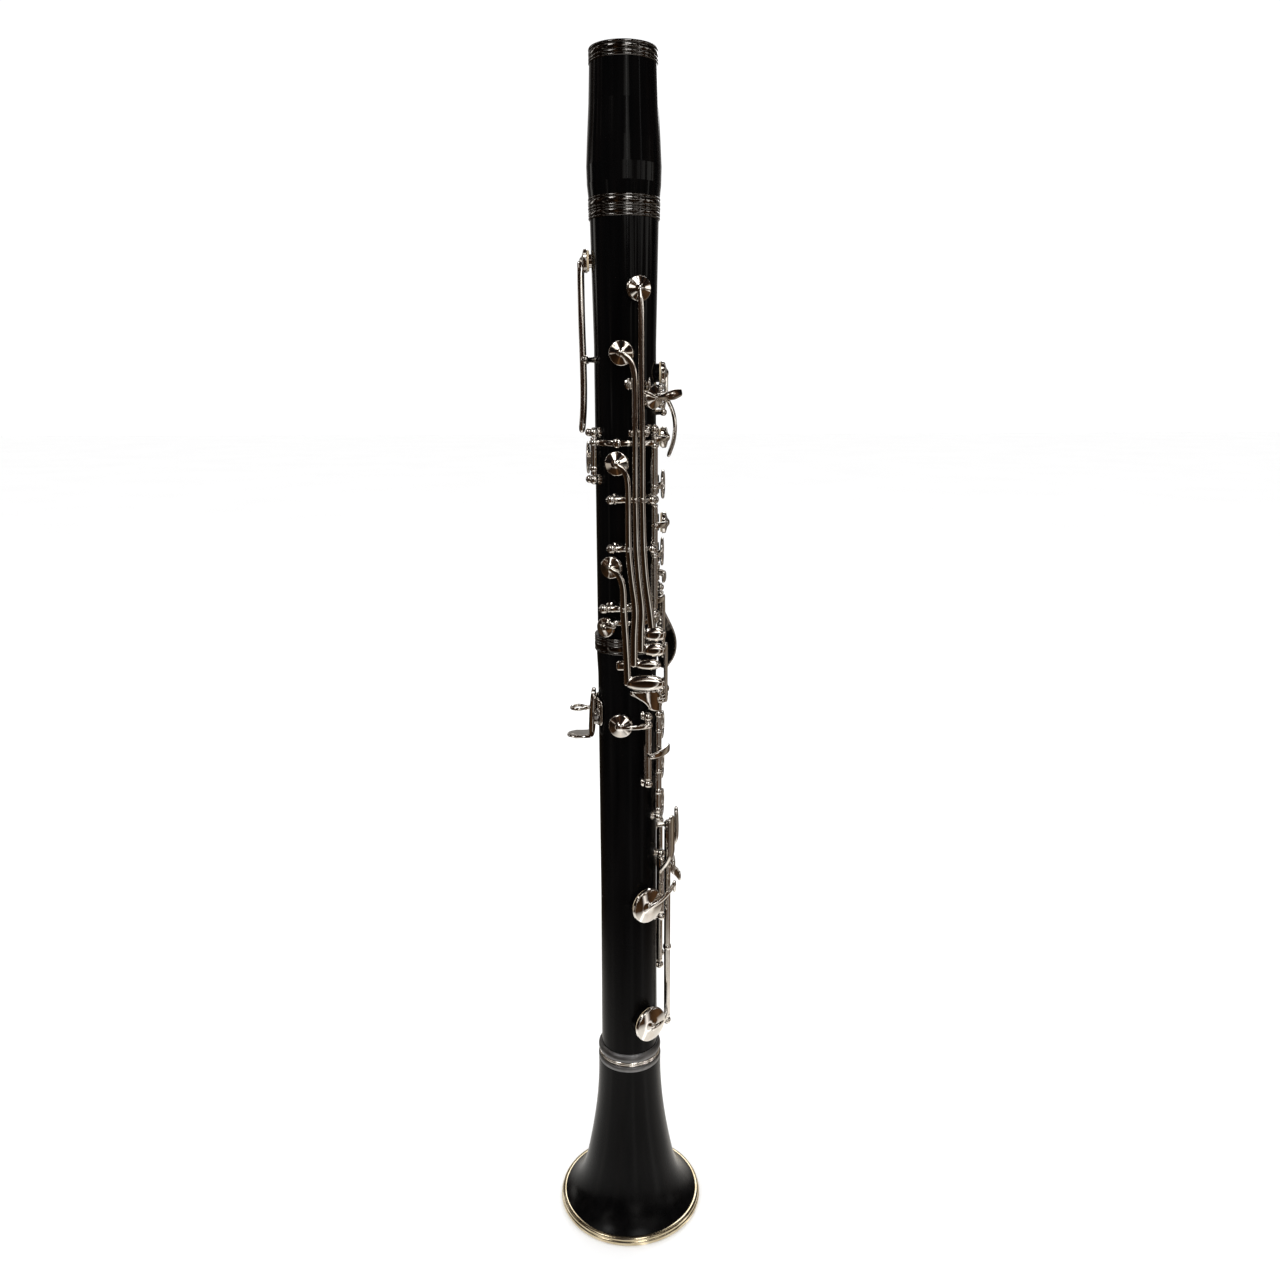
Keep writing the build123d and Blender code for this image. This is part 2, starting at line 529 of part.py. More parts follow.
# ---------------------------------------------------------------- hinge rods and posts
upper_posts = []
lower_posts = []
rods = []
for name, (theta, r, low, high) in HINGES.items():
    ball = SMALL_BALLS.get(name, POST_BALL)
    x, y = polar(theta, r)
    ends = [low - ball - 0.2, high + ball + 0.2]
    if name == "bridge_ring_key":
        ends = [low - ball - 0.2]
    shelf = lower_posts if high < LOWER_TOP else upper_posts
    top = 433.0 if name == "bridge_ring_key" else high + ball + 1.2
    bottom = low - ball - (3.6 if name == "upper_ring_key" else 1.2)
    rod = upright(x, y, bottom, top, ROD_RADIUS)
    for z in ends:
        shelf.append(post(theta, r, z, ball) - rod)
    if name != "upper_ring_key":
        rods.append(rod)
for name, (theta, r, z, half, spacing) in ROCKERS.items():
    shelf = lower_posts if z < LOWER_TOP else upper_posts
    rod = rocker_tube(theta, r, z, spacing + 0.8, ROD_RADIUS)
    for side in (-spacing, spacing):
        angle = theta + math.degrees(math.atan2(side, r))
        shelf.append(post(angle, math.hypot(r, side), z, ROCKER_BALL) - rod)
    rods.append(rod)
for z, x0, x1 in SIDE_RODS:
    rod = crosswise(-AXLE_OUT, z, x0, x1, ROD_RADIUS)
    for x, post_z, ball in SIDE_POSTS:
        if post_z == z:
            upper_posts.append(post_xy(x, -AXLE_OUT, z, ball) - rod)
    rods.append(rod)

# guides that keep the long side levers in line
key_guides = []
for x in (2.4, 10.4):
    key_guides.append(post_xy(x, -16.6, 452.4, 1.5))
comb = Pos(6.25, -16.7, 430.4) * Box(7.6, 1.0, 3.2)
for x in (2.75, 6.25, 9.75):
    comb += Pos(x, -18.6, 430.4) * Box(0.55, 4.2, 3.2)
comb += radial(-69.5, 430.4, 1.35, 11.6, 17.4)
key_guides.append(comb)

# ---------------------------------------------------------------- thumb rest and strap ring
rest_plate = Rot(0, 0, 148) * Pos(0, 0, 284.0) * extrude(
    trace(CenterArc((0, 0), LOWER_RADIUS + 0.6, 0, 64), 1.2), 17.0
)
rest_bar = plate_points(180, [(16.8, 300.0), (18.0, 280.0)], 9.5, 3.0)
thumb_rest = rest_plate + rest_bar
hook = Pos(-23.4, 0, 278.0) * extrude(SlotOverall(15.6, 10.0), 1.8)
thumb_rest += hook
rest_screws = []
for theta in (157, 203):
    screw = radial(theta, 292.5, 1.1, 11.6, 15.8) + radial(theta, 292.5, 2.0, 15.8, 16.6)
    rest_screws.append(screw)
    thumb_rest -= screw
strap_boss = Rot(0, 0, 180) * Pos(19.4, 0, 293.2) * Rot(0, 90, 0) * Cylinder(1.7, 5.0)
strap_eye = Pos(-25.0, 0, 293.2) * Torus(3.4, 0.75)
strap_ring = strap_boss + strap_eye - rest_bar
strap_ring = strap_ring.solids().sort_by(SortBy.VOLUME)[-1]
thumb_rest = thumb_rest.solids().sort_by(SortBy.VOLUME)[-1]

# ---------------------------------------------------------------- fit the hardware into the body
for item in upper_posts + key_guides:
    upper_joint -= item
for item in lower_posts + rest_screws:
    lower_joint -= item
lower_joint -= thumb_rest

# ---------------------------------------------------------------- write the parts
save(barrel, "barrel")
save(group([cap_ring, foot_ring]), "barrel_rings")
save(upper_joint, "upper_joint")
save(upper_joint_ring, "upper_joint_ring")
save(lower_joint, "lower_joint")
save(middle_socket_ring, "middle_socket_ring")
save(bell, "bell")
save(bell_socket_ring, "bell_socket_ring")
save(bell_rim_ring, "bell_rim_ring")
save(tenon_corks, "tenon_corks")
save(register_tube, "register_tube")
save(thumb_tube, "thumb_tube")
save(group(upper_posts), "upper_posts")
save(group(lower_posts), "lower_posts")
save(group(rods), "hinge_rods")
save(group(key_guides), "key_guides")
save(thumb_rest, "thumb_rest")
save(group(rest_screws), "thumb_rest_screws")
save(strap_ring, "strap_ring")
for name, shape in keys.items():
    save(shape, name)
for name, shape in pads.items():
    save(shape, name.replace("_key", "") + "_pad")
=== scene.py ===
import json
import math

import bmesh
import bpy
from mathutils import Matrix, Vector


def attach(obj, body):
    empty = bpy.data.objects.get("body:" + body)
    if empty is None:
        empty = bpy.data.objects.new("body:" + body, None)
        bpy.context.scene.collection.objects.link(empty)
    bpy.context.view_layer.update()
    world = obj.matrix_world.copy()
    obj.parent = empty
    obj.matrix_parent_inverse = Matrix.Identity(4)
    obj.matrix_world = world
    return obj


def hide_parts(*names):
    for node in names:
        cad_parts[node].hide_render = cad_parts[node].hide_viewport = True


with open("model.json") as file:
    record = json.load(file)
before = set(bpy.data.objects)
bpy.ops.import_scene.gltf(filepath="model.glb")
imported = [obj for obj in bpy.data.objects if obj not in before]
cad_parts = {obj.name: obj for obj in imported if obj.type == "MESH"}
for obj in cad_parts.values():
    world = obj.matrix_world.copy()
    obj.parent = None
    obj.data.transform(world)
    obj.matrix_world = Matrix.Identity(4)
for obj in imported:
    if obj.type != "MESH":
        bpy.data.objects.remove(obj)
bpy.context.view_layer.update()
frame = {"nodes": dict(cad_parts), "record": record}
NODES = frame["nodes"]


# ---------------------------------------------------------------- materials
def new_material(name):
    """Empty node material; returns it with its node tree, output shader and a node maker."""
    mat = bpy.data.materials.new(name)
    mat.use_nodes = True
    tree = mat.node_tree
    shader = tree.nodes["Principled BSDF"]

    def add(kind, **values):
        node = tree.nodes.new(kind)
        for key, value in values.items():
            if key in node.inputs:
                node.inputs[key].default_value = value
            else:
                setattr(node, key, value)
        return node

    return mat, tree, shader, add


def object_noise(tree, add, scale, detail=4.0, stretch=(1, 1, 1)):
    """Noise in object coordinates; returns its factor socket."""
    coords = add("ShaderNodeTexCoord")
    mapping = add("ShaderNodeMapping")
    mapping.inputs["Scale"].default_value = stretch
    noise = add("ShaderNodeTexNoise", Scale=scale, Detail=detail)
    tree.links.new(coords.outputs["Object"], mapping.inputs["Vector"])
    tree.links.new(mapping.outputs["Vector"], noise.inputs["Vector"])
    return noise.outputs["Fac"]


def ramp(tree, add, source, stops):
    """Colour ramp from a factor."""
    node = add("ShaderNodeValToRGB")
    points = node.color_ramp.elements
    while len(points) < len(stops):
        points.new(0.5)
    for point, (place, colour) in zip(points, stops):
        point.position = place
        point.color = (*colour, 1.0)
    tree.links.new(source, node.inputs["Fac"])
    return node.outputs["Color"]


def spread(tree, add, source, low, high, from_low=0.3, from_high=0.7):
    """Maps a factor to a range of values."""
    node = add("ShaderNodeMapRange")
    node.inputs["From Min"].default_value = from_low
    node.inputs["From Max"].default_value = from_high
    node.inputs["To Min"].default_value = low
    node.inputs["To Max"].default_value = high
    tree.links.new(source, node.inputs["Value"])
    return node.outputs["Result"]


def bump(tree, add, shader, source, strength, distance):
    """Fine relief."""
    node = add("ShaderNodeBump", Strength=strength, Distance=distance)
    tree.links.new(source, node.inputs["Height"])
    tree.links.new(node.outputs["Normal"], shader.inputs["Normal"])


def black_body(name, dark, light, rough_low, rough_high, coat, grain, shine):
    """Black moulded or turned body with faint streaks along the bore."""
    mat, tree, shader, add = new_material(name)
    streaks = object_noise(tree, add, 260.0, 6.0, (1, 1, 0.06))
    cloud = object_noise(tree, add, 38.0, 3.0)
    tree.links.new(ramp(tree, add, streaks, [(0.3, dark), (0.75, light)]), shader.inputs["Base Color"])
    tree.links.new(spread(tree, add, cloud, rough_low, rough_high), shader.inputs["Roughness"])
    shader.inputs["Coat Weight"].default_value = coat
    shader.inputs["Coat Roughness"].default_value = 0.06
    shader.inputs["Specular IOR Level"].default_value = shine
    bump(tree, add, shader, streaks, grain, 0.00006)
    return mat


def plated(name, base, tint, rough_low, rough_high):
    """Polished plated metal with slight tarnish and fine buffing marks."""
    mat, tree, shader, add = new_material(name)
    cloud = object_noise(tree, add, 120.0, 5.0)
    fine = object_noise(tree, add, 900.0, 6.0, (1, 1, 0.25))
    tree.links.new(ramp(tree, add, cloud, [(0.3, tint), (0.62, base)]), shader.inputs["Base Color"])
    tree.links.new(spread(tree, add, fine, rough_low, rough_high), shader.inputs["Roughness"])
    shader.inputs["Metallic"].default_value = 1.0
    bump(tree, add, shader, fine, 0.02, 0.00002)
    return mat


def soft_surface(name, base, tint, scale, rough, relief):
    """Leather, skin or cork."""
    mat, tree, shader, add = new_material(name)
    spots = object_noise(tree, add, scale, 8.0)
    tree.links.new(ramp(tree, add, spots, [(0.35, tint), (0.65, base)]), shader.inputs["Base Color"])
    tree.links.new(spread(tree, add, spots, rough - 0.1, rough + 0.1), shader.inputs["Roughness"])
    bump(tree, add, shader, spots, relief, 0.0002)
    return mat


MATERIALS = {
    "black_gloss": black_body(
        "black_gloss", (0.0008, 0.0008, 0.0009), (0.0022, 0.0020, 0.0020), 0.08, 0.13, 0.03, 0.02, 0.08
    ),
    "black_satin": black_body(
        "black_satin", (0.0009, 0.0009, 0.0010), (0.0026, 0.0024, 0.0025), 0.20, 0.30, 0.0, 0.06, 0.085
    ),
    "nickel": plated("nickel", (0.93, 0.905, 0.87), (0.76, 0.71, 0.64), 0.035, 0.10),
    # Beaded body bands: nickel with a near-black base colour. The darkness is a painted dark reflection of
    # the surroundings, not the bright nickel the bands are made of.
    "band_metal_painted_dark_reflection": plated("band_metal_painted_dark_reflection", (0.21, 0.205, 0.20), (0.13, 0.125, 0.12), 0.05, 0.12),
    "band_satin": plated("band_satin", (0.26, 0.26, 0.265), (0.17, 0.17, 0.175), 0.36, 0.5),
    "pale_gold": plated("pale_gold", (0.66, 0.58, 0.42), (0.46, 0.38, 0.24), 0.12, 0.24),
    "steel": plated("steel", (0.60, 0.58, 0.56), (0.42, 0.40, 0.38), 0.16, 0.3),
    "cork": soft_surface("cork", (0.55, 0.38, 0.22), (0.30, 0.19, 0.10), 700.0, 0.8, 0.6),
    "pad_skin": soft_surface("pad_skin", (0.80, 0.68, 0.47), (0.62, 0.46, 0.28), 500.0, 0.5, 0.25),
}
for part in frame["record"]["subparts"]:
    node = NODES[part["node"]]
    node.data.materials.clear()
    node.data.materials.append(MATERIALS[part["material_slot"]])
    if part["material_slot"] == "nickel":
        soft = node.modifiers.new("soft_edges", "BEVEL")
        soft.width = 0.00028
        soft.segments = 3
        soft.limit_method = "ANGLE"
        soft.angle_limit = math.radians(40)
        node.modifiers.new("face_normals", "WEIGHTED_NORMAL")


# ---------------------------------------------------------------- shape tools, all lengths in mm
MM = 0.001


def polar(theta, r, z):
    """Point at an angle round the bore, a distance from its axis and a height."""
    angle = math.radians(theta)
    return Vector((r * math.cos(angle), r * math.sin(angle), z))


def outward(point):
    """Direction away from the bore axis."""
    flat = Vector((point[0], point[1], 0.0))
    return flat.normalized()


def lathe(bm, profile, origin, axis, segments=32, closed=False):
    """Turned shape from (radius, height) corners about an axis."""
    axis = Vector(axis).normalized()
    side = axis.orthogonal().normalized()
    other = axis.cross(side)
    rows = []
    for radius, height in profile:
        centre = Vector(origin) + axis * height
        if radius < 1e-6:
            rows.append([bm.verts.new(centre)])
            continue
        row = []
        for k in range(segments):
            a = 2 * math.pi * k / segments
            row.append(bm.verts.new(centre + radius * (math.cos(a) * side + math.sin(a) * other)))
        rows.append(row)
    pairs = list(zip(rows, rows[1:]))
    if closed:
        pairs.append((rows[-1], rows[0]))
    for low, high in pairs:
        for k in range(segments):
            n = (k + 1) % segments
            if len(low) == 1 and len(high) == 1:
                continue
            if len(low) == 1:
                bm.faces.new((low[0], high[n], high[k]))
            elif len(high) == 1:
                bm.faces.new((low[k], low[n], high[0]))
            else:
                bm.faces.new((low[k], low[n], high[n], high[k]))


def rounded(spots, reach=3.0, steps=6):
    """Spots (x, y, z, width, height) with their corners rounded."""
    result = [spots[0]]
    for before, corner, after in zip(spots, spots[1:], spots[2:]):
        def toward(other):
            length = (Vector(other[:3]) - Vector(corner[:3])).length
            part = min(reach, 0.48 * length) / max(length, 1e-9)
            return [c + (o - c) * part for c, o in zip(corner, other)]
        start, end = toward(before), toward(after)
        for k in range(steps + 1):
            t = k / steps
            result.append([
                (1 - t) ** 2 * s + 2 * t * (1 - t) * c + t * t * e for s, c, e in zip(start, corner, end)
            ])
    result.append(spots[-1])
    return result


SECTION_SIDES = 16


def end_cap(station, sign):
    """Stations that round off one end of a sweep."""
    place, along, width, height = station
    reach = min(width, height * 2.2) / 2
    extra = []
    for degrees in (35, 62, 82):
        a = math.radians(degrees)
        shrink = math.cos(a) ** 0.7
        extra.append((place + along * sign * reach * math.sin(a), along, width * shrink, height * shrink))
    return extra


def sweep(bm, spots, up=None, power=3.0):
    """Bar of rounded section through spots (x, y, z, width, height); up is the height direction."""
    count = len(spots)
    stations = []
    for i, spot in enumerate(spots):
        before = Vector(spots[max(i - 1, 0)][:3])
        after = Vector(spots[min(i + 1, count - 1)][:3])
        stations.append((Vector(spot[:3]), (after - before).normalized(), spot[3], spot[4]))
    stations = end_cap(stations[0], -1)[::-1] + stations + end_cap(stations[-1], 1)
    rings = []
    for place, along, width, height in stations:
        rise = Vector(up) if up is not None else outward(place)
        rise = (rise - along * rise.dot(along)).normalized()
        side = along.cross(rise)
        ring = []
        for k in range(SECTION_SIDES):
            a = 2 * math.pi * k / SECTION_SIDES
            c, s = math.cos(a), math.sin(a)
            x = math.copysign(abs(c) ** (2 / power), c) * width / 2
            y = math.copysign(abs(s) ** (2 / power), s) * height / 2
            ring.append(bm.verts.new(place + side * x + rise * y))
        rings.append(ring)
    for low, high in zip(rings, rings[1:]):
        for k in range(SECTION_SIDES):
            n = (k + 1) % SECTION_SIDES
            bm.faces.new((low[k], low[n], high[n], high[k]))
    for ring, station in ((rings[0], stations[0]), (rings[-1], stations[-1])):
        middle = bm.verts.new(station[0])
        for k in range(SECTION_SIDES):
            bm.faces.new((ring[k], ring[(k + 1) % SECTION_SIDES], middle))


def bar(bm, theta, spots, width, height, reach=3.0):
    """Lever in the radial plane at an angle from (r, z) or (r, z, width) corners."""
    full = []
    for spot in spots:
        place = polar(theta, spot[0], spot[1])
        full.append([*place, spot[2] if len(spot) > 2 else width, height])
    sweep(bm, rounded(full, reach))


def arm(bm, theta0, theta1, r, height, z, width, width_end=None):
    """Bar running round the body between two angles."""
    count = max(4, int(abs(theta1 - theta0) / 4))
    spots = []
    for k in range(count + 1):
        t = k / count
        place = polar(theta0 + (theta1 - theta0) * t, r, z)
        spots.append([*place, width + ((width_end or width) - width) * t, height])
    sweep(bm, spots)


def strut(bm, theta, low, high, z, width, foot, head):
    """Upright piece standing out from the body between two distances from the axis."""
    sweep(bm, [(*polar(theta, low, z), width, foot), (*polar(theta, high, z), width, head)], up=(0, 0, 1))


def ball(bm, place, radius, squash=1.0, axis=(0, 0, 1)):
    """Round or flattened ball."""
    profile = [
        (radius * math.cos(math.radians(a)), radius * squash * math.sin(math.radians(a)))
        for a in (-90, -70, -50, -30, -10, 10, 30, 50, 70, 90)
    ]
    profile[0] = (0.0, profile[0][1])
    profile[-1] = (0.0, profile[-1][1])
    lathe(bm, profile, place, axis, 24)


def rod(bm, start, end, radius, lip=0.12):
    """Round bar between two points with broken edges."""
    start, end = Vector(start), Vector(end)
    length = (end - start).length
    profile = [(0, 0), (radius - lip, 0), (radius, lip)]
    profile += [(radius, length - lip), (radius - lip, length), (0, length)]
    lathe(bm, profile, start, end - start, 20)


def pillow(bm, centre, along, normal, length, width, height, power=2.3, rise=2.0):
    """Domed touch; its rim lies at the centre height and its crown along the normal."""
    along = Vector(along).normalized()
    normal = Vector(normal).normalized()
    across = normal.cross(along)
    rows = []
    sides = 36
    levels = [(0.94, -0.28), (1.0, -0.12), (1.0, 0.05)]
    for degrees in (12, 26, 40, 54, 68, 80):
        a = math.radians(degrees)
        levels.append((math.cos(a), math.sin(a) ** (2 / rise)))
    for scale, lift in levels:
        row = []
        for k in range(sides):
            a = 2 * math.pi * k / sides
            c, s = math.cos(a), math.sin(a)
            x = math.copysign(abs(c) ** (2 / power), c) * length / 2
            y = math.copysign(abs(s) ** (2 / power), s) * width / 2
            inset = (1 - scale) * width / 2
            shrink_x = 1 - inset / (length / 2)
            row.append(bm.verts.new(
                Vector(centre) + along * x * shrink_x + across * y * scale + normal * height * lift
            ))
        rows.append(row)
    for low, high in zip(rows, rows[1:]):
        for k in range(sides):
            n = (k + 1) % sides
            bm.faces.new((low[k], low[n], high[n], high[k]))
    bm.faces.new(rows[0][::-1])
    bm.faces.new(rows[-1])


def piece(name, bm, body, material, nodes=(), corner=38.0):
    """Object from a finished shape; it rides on a body and stands for CAD nodes."""
    bmesh.ops.recalc_face_normals(bm, faces=bm.faces)
    bmesh.ops.scale(bm, vec=(MM, MM, MM), verts=bm.verts)
    limit = math.radians(corner)
    for edge in bm.edges:
        edge.smooth = edge.calc_face_angle(0.0) < limit
    for face in bm.faces:
        face.smooth = True
    mesh = bpy.data.meshes.new(name)
    bm.to_mesh(mesh)
    bm.free()
    thing = bpy.data.objects.new(name, mesh)
    bpy.context.collection.objects.link(thing)
    mesh.materials.append(MATERIALS[material])
    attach(thing, body)
    if nodes:
        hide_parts(*nodes)
    return thing


# ---------------------------------------------------------------- body rings
BEAD_DEPTH = 0.42
BEAD_GAP = 0.06


def beads(radius, low, high, inner, counts):
    """Profile of a metal band with round beads parted by fine grooves."""
    profile = [(inner, low), (radius - 0.25, low)]
    step = (high - low) / sum(counts)
    z = low
    for share in counts:
        top = z + share * step
        half = (top - z) / 2
        for a in (-75, -50, -25, 0, 25, 50, 75):
            rad = math.radians(a)
            height = z + half + (half - BEAD_GAP) * math.sin(rad)
            profile.append((radius - BEAD_DEPTH + BEAD_DEPTH * math.cos(rad), height))
        if top < high - 0.01:
            profile.append((radius - BEAD_DEPTH - 0.1, top - 0.05))
            profile.append((radius - BEAD_DEPTH - 0.1, top + 0.05))
        z = top
    profile += [(radius - 0.25, high), (inner, high)]
    return profile


def band(bm, radius, low, high, inner, counts):
    """Beaded band round the bore."""
    lathe(bm, beads(radius, low, high, inner, counts), (0, 0, 0), (0, 0, 1), 96, closed=True)


# Barrel, upper and middle bands use the darkened band material: their near-black colour is painted
# reflection.
bm = bmesh.new()
band(bm, 15.35, 587.8, 594.0, 13.6, (1.0, 1.5, 2.4, 1.2))
band(bm, 16.35, 528.3, 533.4, 14.6, (1.1, 2.7, 1.1))
piece("barrel_bands", bm, "body", "band_metal_painted_dark_reflection", ["barrel_rings"], 60)
bm = bmesh.new()
band(bm, 16.25, 524.2, 528.3, 14.3, (1.1, 2.0, 1.0))
piece("upper_band", bm, "body", "band_metal_painted_dark_reflection", ["upper_joint_ring"], 60)
bm = bmesh.new()
band(bm, 16.1, 324.4, 332.4, 14.0, (1.2, 3.2, 1.1, 1.5, 1.0))
piece("middle_band", bm, "body", "band_metal_painted_dark_reflection", ["middle_socket_ring"], 60)
bm = bmesh.new()
profile = [(15.4, 91.5), (16.9, 91.5), (17.1, 92.0), (17.15, 92.8), (17.05, 93.7), (16.8, 94.2)]
profile += [(16.2, 94.3), (16.2, 97.4), (16.8, 97.5), (17.0, 98.0), (17.05, 98.8), (16.8, 99.9)]
profile += [(16.2, 100.8), (15.7, 101.3), (15.28, 101.5), (15.28, 100.7), (15.4, 100.7)]
lathe(bm, profile, (0, 0, 0), (0, 0, 1), 96, closed=True)
piece("bell_band", bm, "body", "band_satin", ["bell_socket_ring"], 60)
bm = bmesh.new()
profile = [(16.0, 94.4), (16.45, 94.5), (16.7, 94.9), (16.45, 95.3), (16.45, 95.5), (16.75, 95.9)]
profile += [(16.45, 96.3), (16.45, 96.4), (16.7, 96.8), (16.45, 97.2), (16.0, 97.3)]
lathe(bm, profile, (0, 0, 0), (0, 0, 1), 96, closed=True)
piece("bell_band_groove", bm, "body", "nickel", [], 60)
bm = bmesh.new()
rim = [(37.0, 0.0), (38.6, 0.0), (39.25, 0.35), (39.55, 1.0), (39.55, 2.0), (39.25, 2.55), (38.95, 2.75)]
rim += [(39.05, 2.95), (39.15, 3.4), (38.9, 4.1), (38.3, 4.55), (37.6, 4.7), (37.0, 4.6)]
lathe(bm, rim, (0, 0, 0), (0, 0, 1), 128, closed=True)
piece("rim_band", bm, "body", "pale_gold", ["bell_rim_ring"], 60)


# ---------------------------------------------------------------- key layout
SEAT = 15.9
HOLES = {
    "register_key": (180, 507.0, 4.6, 16.2),
    "a_key": (0, 457.5, 5.0, SEAT),
    "g_sharp_key": (-44, 446.4, 4.8, SEAT),
    "side_key_4": (-68, 493.7, 5.1, SEAT),
    "side_key_3": (-95, 466.0, 5.1, SEAT),
    "side_key_2": (-103, 416.7, 5.1, SEAT),
    "side_key_1": (-113.5, 367.9, 4.8, SEAT),
    "c_sharp_key": (-124.8, 338.3, 4.3, SEAT),
    "upper_ring_key": (-8, 428.0, 4.5, SEAT),
    "bridge_ring_key": (0, 387.3, 4.7, SEAT),
    "e_flat_key": (55, 371.0, 4.6, SEAT),
    "lower_ring_key": (-3, 303.5, 4.9, SEAT),
    "b_sliver_key": (-100.5, 289.0, 5.4, SEAT),
    "low_f_key": (-59, 190.5, 8.6, SEAT),
    "low_e_key": (-56, 120.7, 8.9, 16.3),
    "a_flat_key": (62, 150.0, 8.4, 16.2),
    "f_sharp_key": (58, 178.0, 8.0, SEAT),
}
HINGES = {
    "thumb_ring_key": (-147, 17.5, 411.0, 428.2),
    "upper_ring_key": (-41, 17.8, 401.9, 429.7),
    "bridge_ring_key": (-41, 17.8, 347.0, 397.3),
    "g_sharp_key": (-18, 17.4, 444.6, 449.2),
    "c_sharp_key": (18, 17.5, 339.0, 352.2),
    "e_flat_key": (34, 17.8, 357.0, 365.6),
    "lower_ring_key": (-30.5, 18.0, 239.7, 302.0),
    "b_sliver_key": (-55, 18.0, 259.8, 290.6),
    "low_f_key": (-18, 17.8, 181.1, 212.9),
    "low_e_key": (3, 20.6, 114.1, 226.1),
    "a_flat_key": (22, 17.8, 145.1, 225.9),
    "f_sharp_key": (100, 17.8, 170.1, 213.9),
}
OPEN_ANGLE = {
    "upper_ring_key": -5.25,
    "bridge_ring_key": -3.6,
    "lower_ring_key": -6.0,
    "low_f_key": 6.0,
    "low_e_key": 5.0,
    "f_sharp_key": 6.0,
}
TUBE_RADIUS = 1.72
CROSS_TUBE_RADIUS = 1.75
shapes = {}


def cup(bm, name):
    """Cone-topped pad cup with a rolled rim and a knob where the arm is soldered on."""
    theta, z, pad, seat = HOLES[name]
    wide = pad + 0.55
    profile = [
        (0.0, 2.08), (pad + 0.05, 2.08), (pad + 0.05, 0.85), (wide, 0.85), (wide + 0.12, 1.0),
        (wide + 0.12, 1.3), (wide, 1.5), (wide, 2.2), (wide - 0.15, 2.5), (wide - 0.5, 2.68),
        (pad * 0.5, 3.35), (1.5, 3.95), (1.25, 4.15), (0.8, 4.4), (0.0, 4.5),
    ]
    lathe(bm, profile, polar(theta, seat, z), outward(polar(theta, seat, z)), 48)


def collars(bm, theta, r, low, high):
    """Hinge tube with turned grooves near its ends."""
    length = high - low
    wide, groove = TUBE_RADIUS, TUBE_RADIUS - 0.18
    half = [(1.0, 0.0), (wide - 0.15, 0.0), (wide, 0.15), (wide, 1.5)]
    half += [(groove, 1.6), (groove, 1.85), (wide, 1.95)]
    profile = half + [(radius, length - height) for radius, height in half[::-1]]
    lathe(bm, profile, polar(theta, r, low), (0, 0, 1), 28, closed=True)


def finger_ring(bm, z, theta=0.0, r0=16.1, outer=6.9, inner=5.2):
    """Half-round ring above a finger hole."""
    middle, half = (outer + inner) / 2, (outer - inner) / 2 + 0.1
    profile = [(middle + half * math.cos(math.radians(a)), 0.6 + 0.72 * math.sin(math.radians(a)))
               for a in range(0, 360, 24)]
    lathe(bm, profile, polar(theta, r0, z), outward(polar(theta, r0, z)), 56, closed=True)


for name, (theta, r, low, high) in HINGES.items():
    shapes[name] = bmesh.new()
    collars(shapes[name], theta, r, low, high)
for name in HOLES:
    if name not in shapes:
        shapes[name] = bmesh.new()
    cup(shapes[name], name)


def key_arm(name, z, width=2.4, r=18.9):
    """Arm from the hinge tube, widening a little, to the middle of the cup."""
    arm(shapes[name], HINGES[name][0], HOLES[name][0], r + 0.15, 1.7, z, width + 0.8, width - 0.5)


# thumb ring key
bm = shapes["thumb_ring_key"]
finger_ring(bm, 418.5, 180, 17.3, 7.6, 5.4)
arm(bm, -160, -147, 17.9, 1.4, 418.5, 6.0, 5.0)
arm(bm, -147, -72, 16.1, 1.5, 425.9, 2.8)
ball(bm, polar(-104, 16.2, 425.9), 2.3, 0.55, outward(polar(-104, 1, 0)))
for z in (425.9, 414.0):
    ball(bm, polar(-147, 17.5, z), 2.25, 0.8)

# upper stack
bm = shapes["upper_ring_key"]
finger_ring(bm, 405.7)
arm(bm, -41, -21, 17.1, 1.5, 405.7, 3.4)
key_arm("upper_ring_key", 427.6)
arm(bm, -76, -41, 18.35, 1.3, 425.9, 2.6)
for z in (424.6, 405.7):
    ball(bm, polar(-41, 17.8, z), 2.25, 0.75)
bm = shapes["bridge_ring_key"]
finger_ring(bm, 373.1)
arm(bm, -41, -21, 17.1, 1.5, 373.1, 3.4)
key_arm("bridge_ring_key", 387.3)
arm(bm, -41, -19, 18.7, 1.4, 351.0, 3.2)
bar(bm, -20, [(18.7, 351.6), (18.8, 345.0), (18.7, 322.6)], 3.2, 1.4)
for z in (373.1, 387.3):
    ball(bm, polar(-41, 17.8, z), 2.25, 0.75)

# throat G sharp
bm = shapes["g_sharp_key"]
key_arm("g_sharp_key", 447.0)
spots = [(14.6, -13.6, 446.4, 1.8, 1.4), (18.6, -7.0, 446.9, 3.2, 1.5), (22.3, -3.2, 447.4, 5.2, 1.4),
         (26.0, 1.8, 448.4, 3.6, 1.1)]
sweep(bm, rounded(spots, 3.0), up=(0.5, -0.85, 0.0))

# C sharp
bm = shapes["c_sharp_key"]
arm(bm, -109.5, 18, 15.9, 1.1, 340.6, 2.4)
arm(bm, -125, -109, 18.9, 1.4, 340.0, 2.0, 3.0)
strut(bm, -109.5, 15.8, 19.0, 340.4, 2.4, 1.5, 1.5)
arm(bm, 18, 33, 18.6, 1.6, 343.0, 4.0)
spots = [(16.2, 9.6, 345.0, 3.4, 1.6), (17.2, 11.0, 340.5, 4.4, 1.6), (18.8, 13.4, 334.0, 8.4, 1.5),
         (20.2, 14.6, 326.0, 12.2, 1.5), (20.0, 14.4, 318.0, 11.6, 1.5), (18.6, 13.4, 311.5, 5.4, 1.4)]
sweep(bm, rounded(spots, 3.6), up=(0.5, 0.866, 0.0))

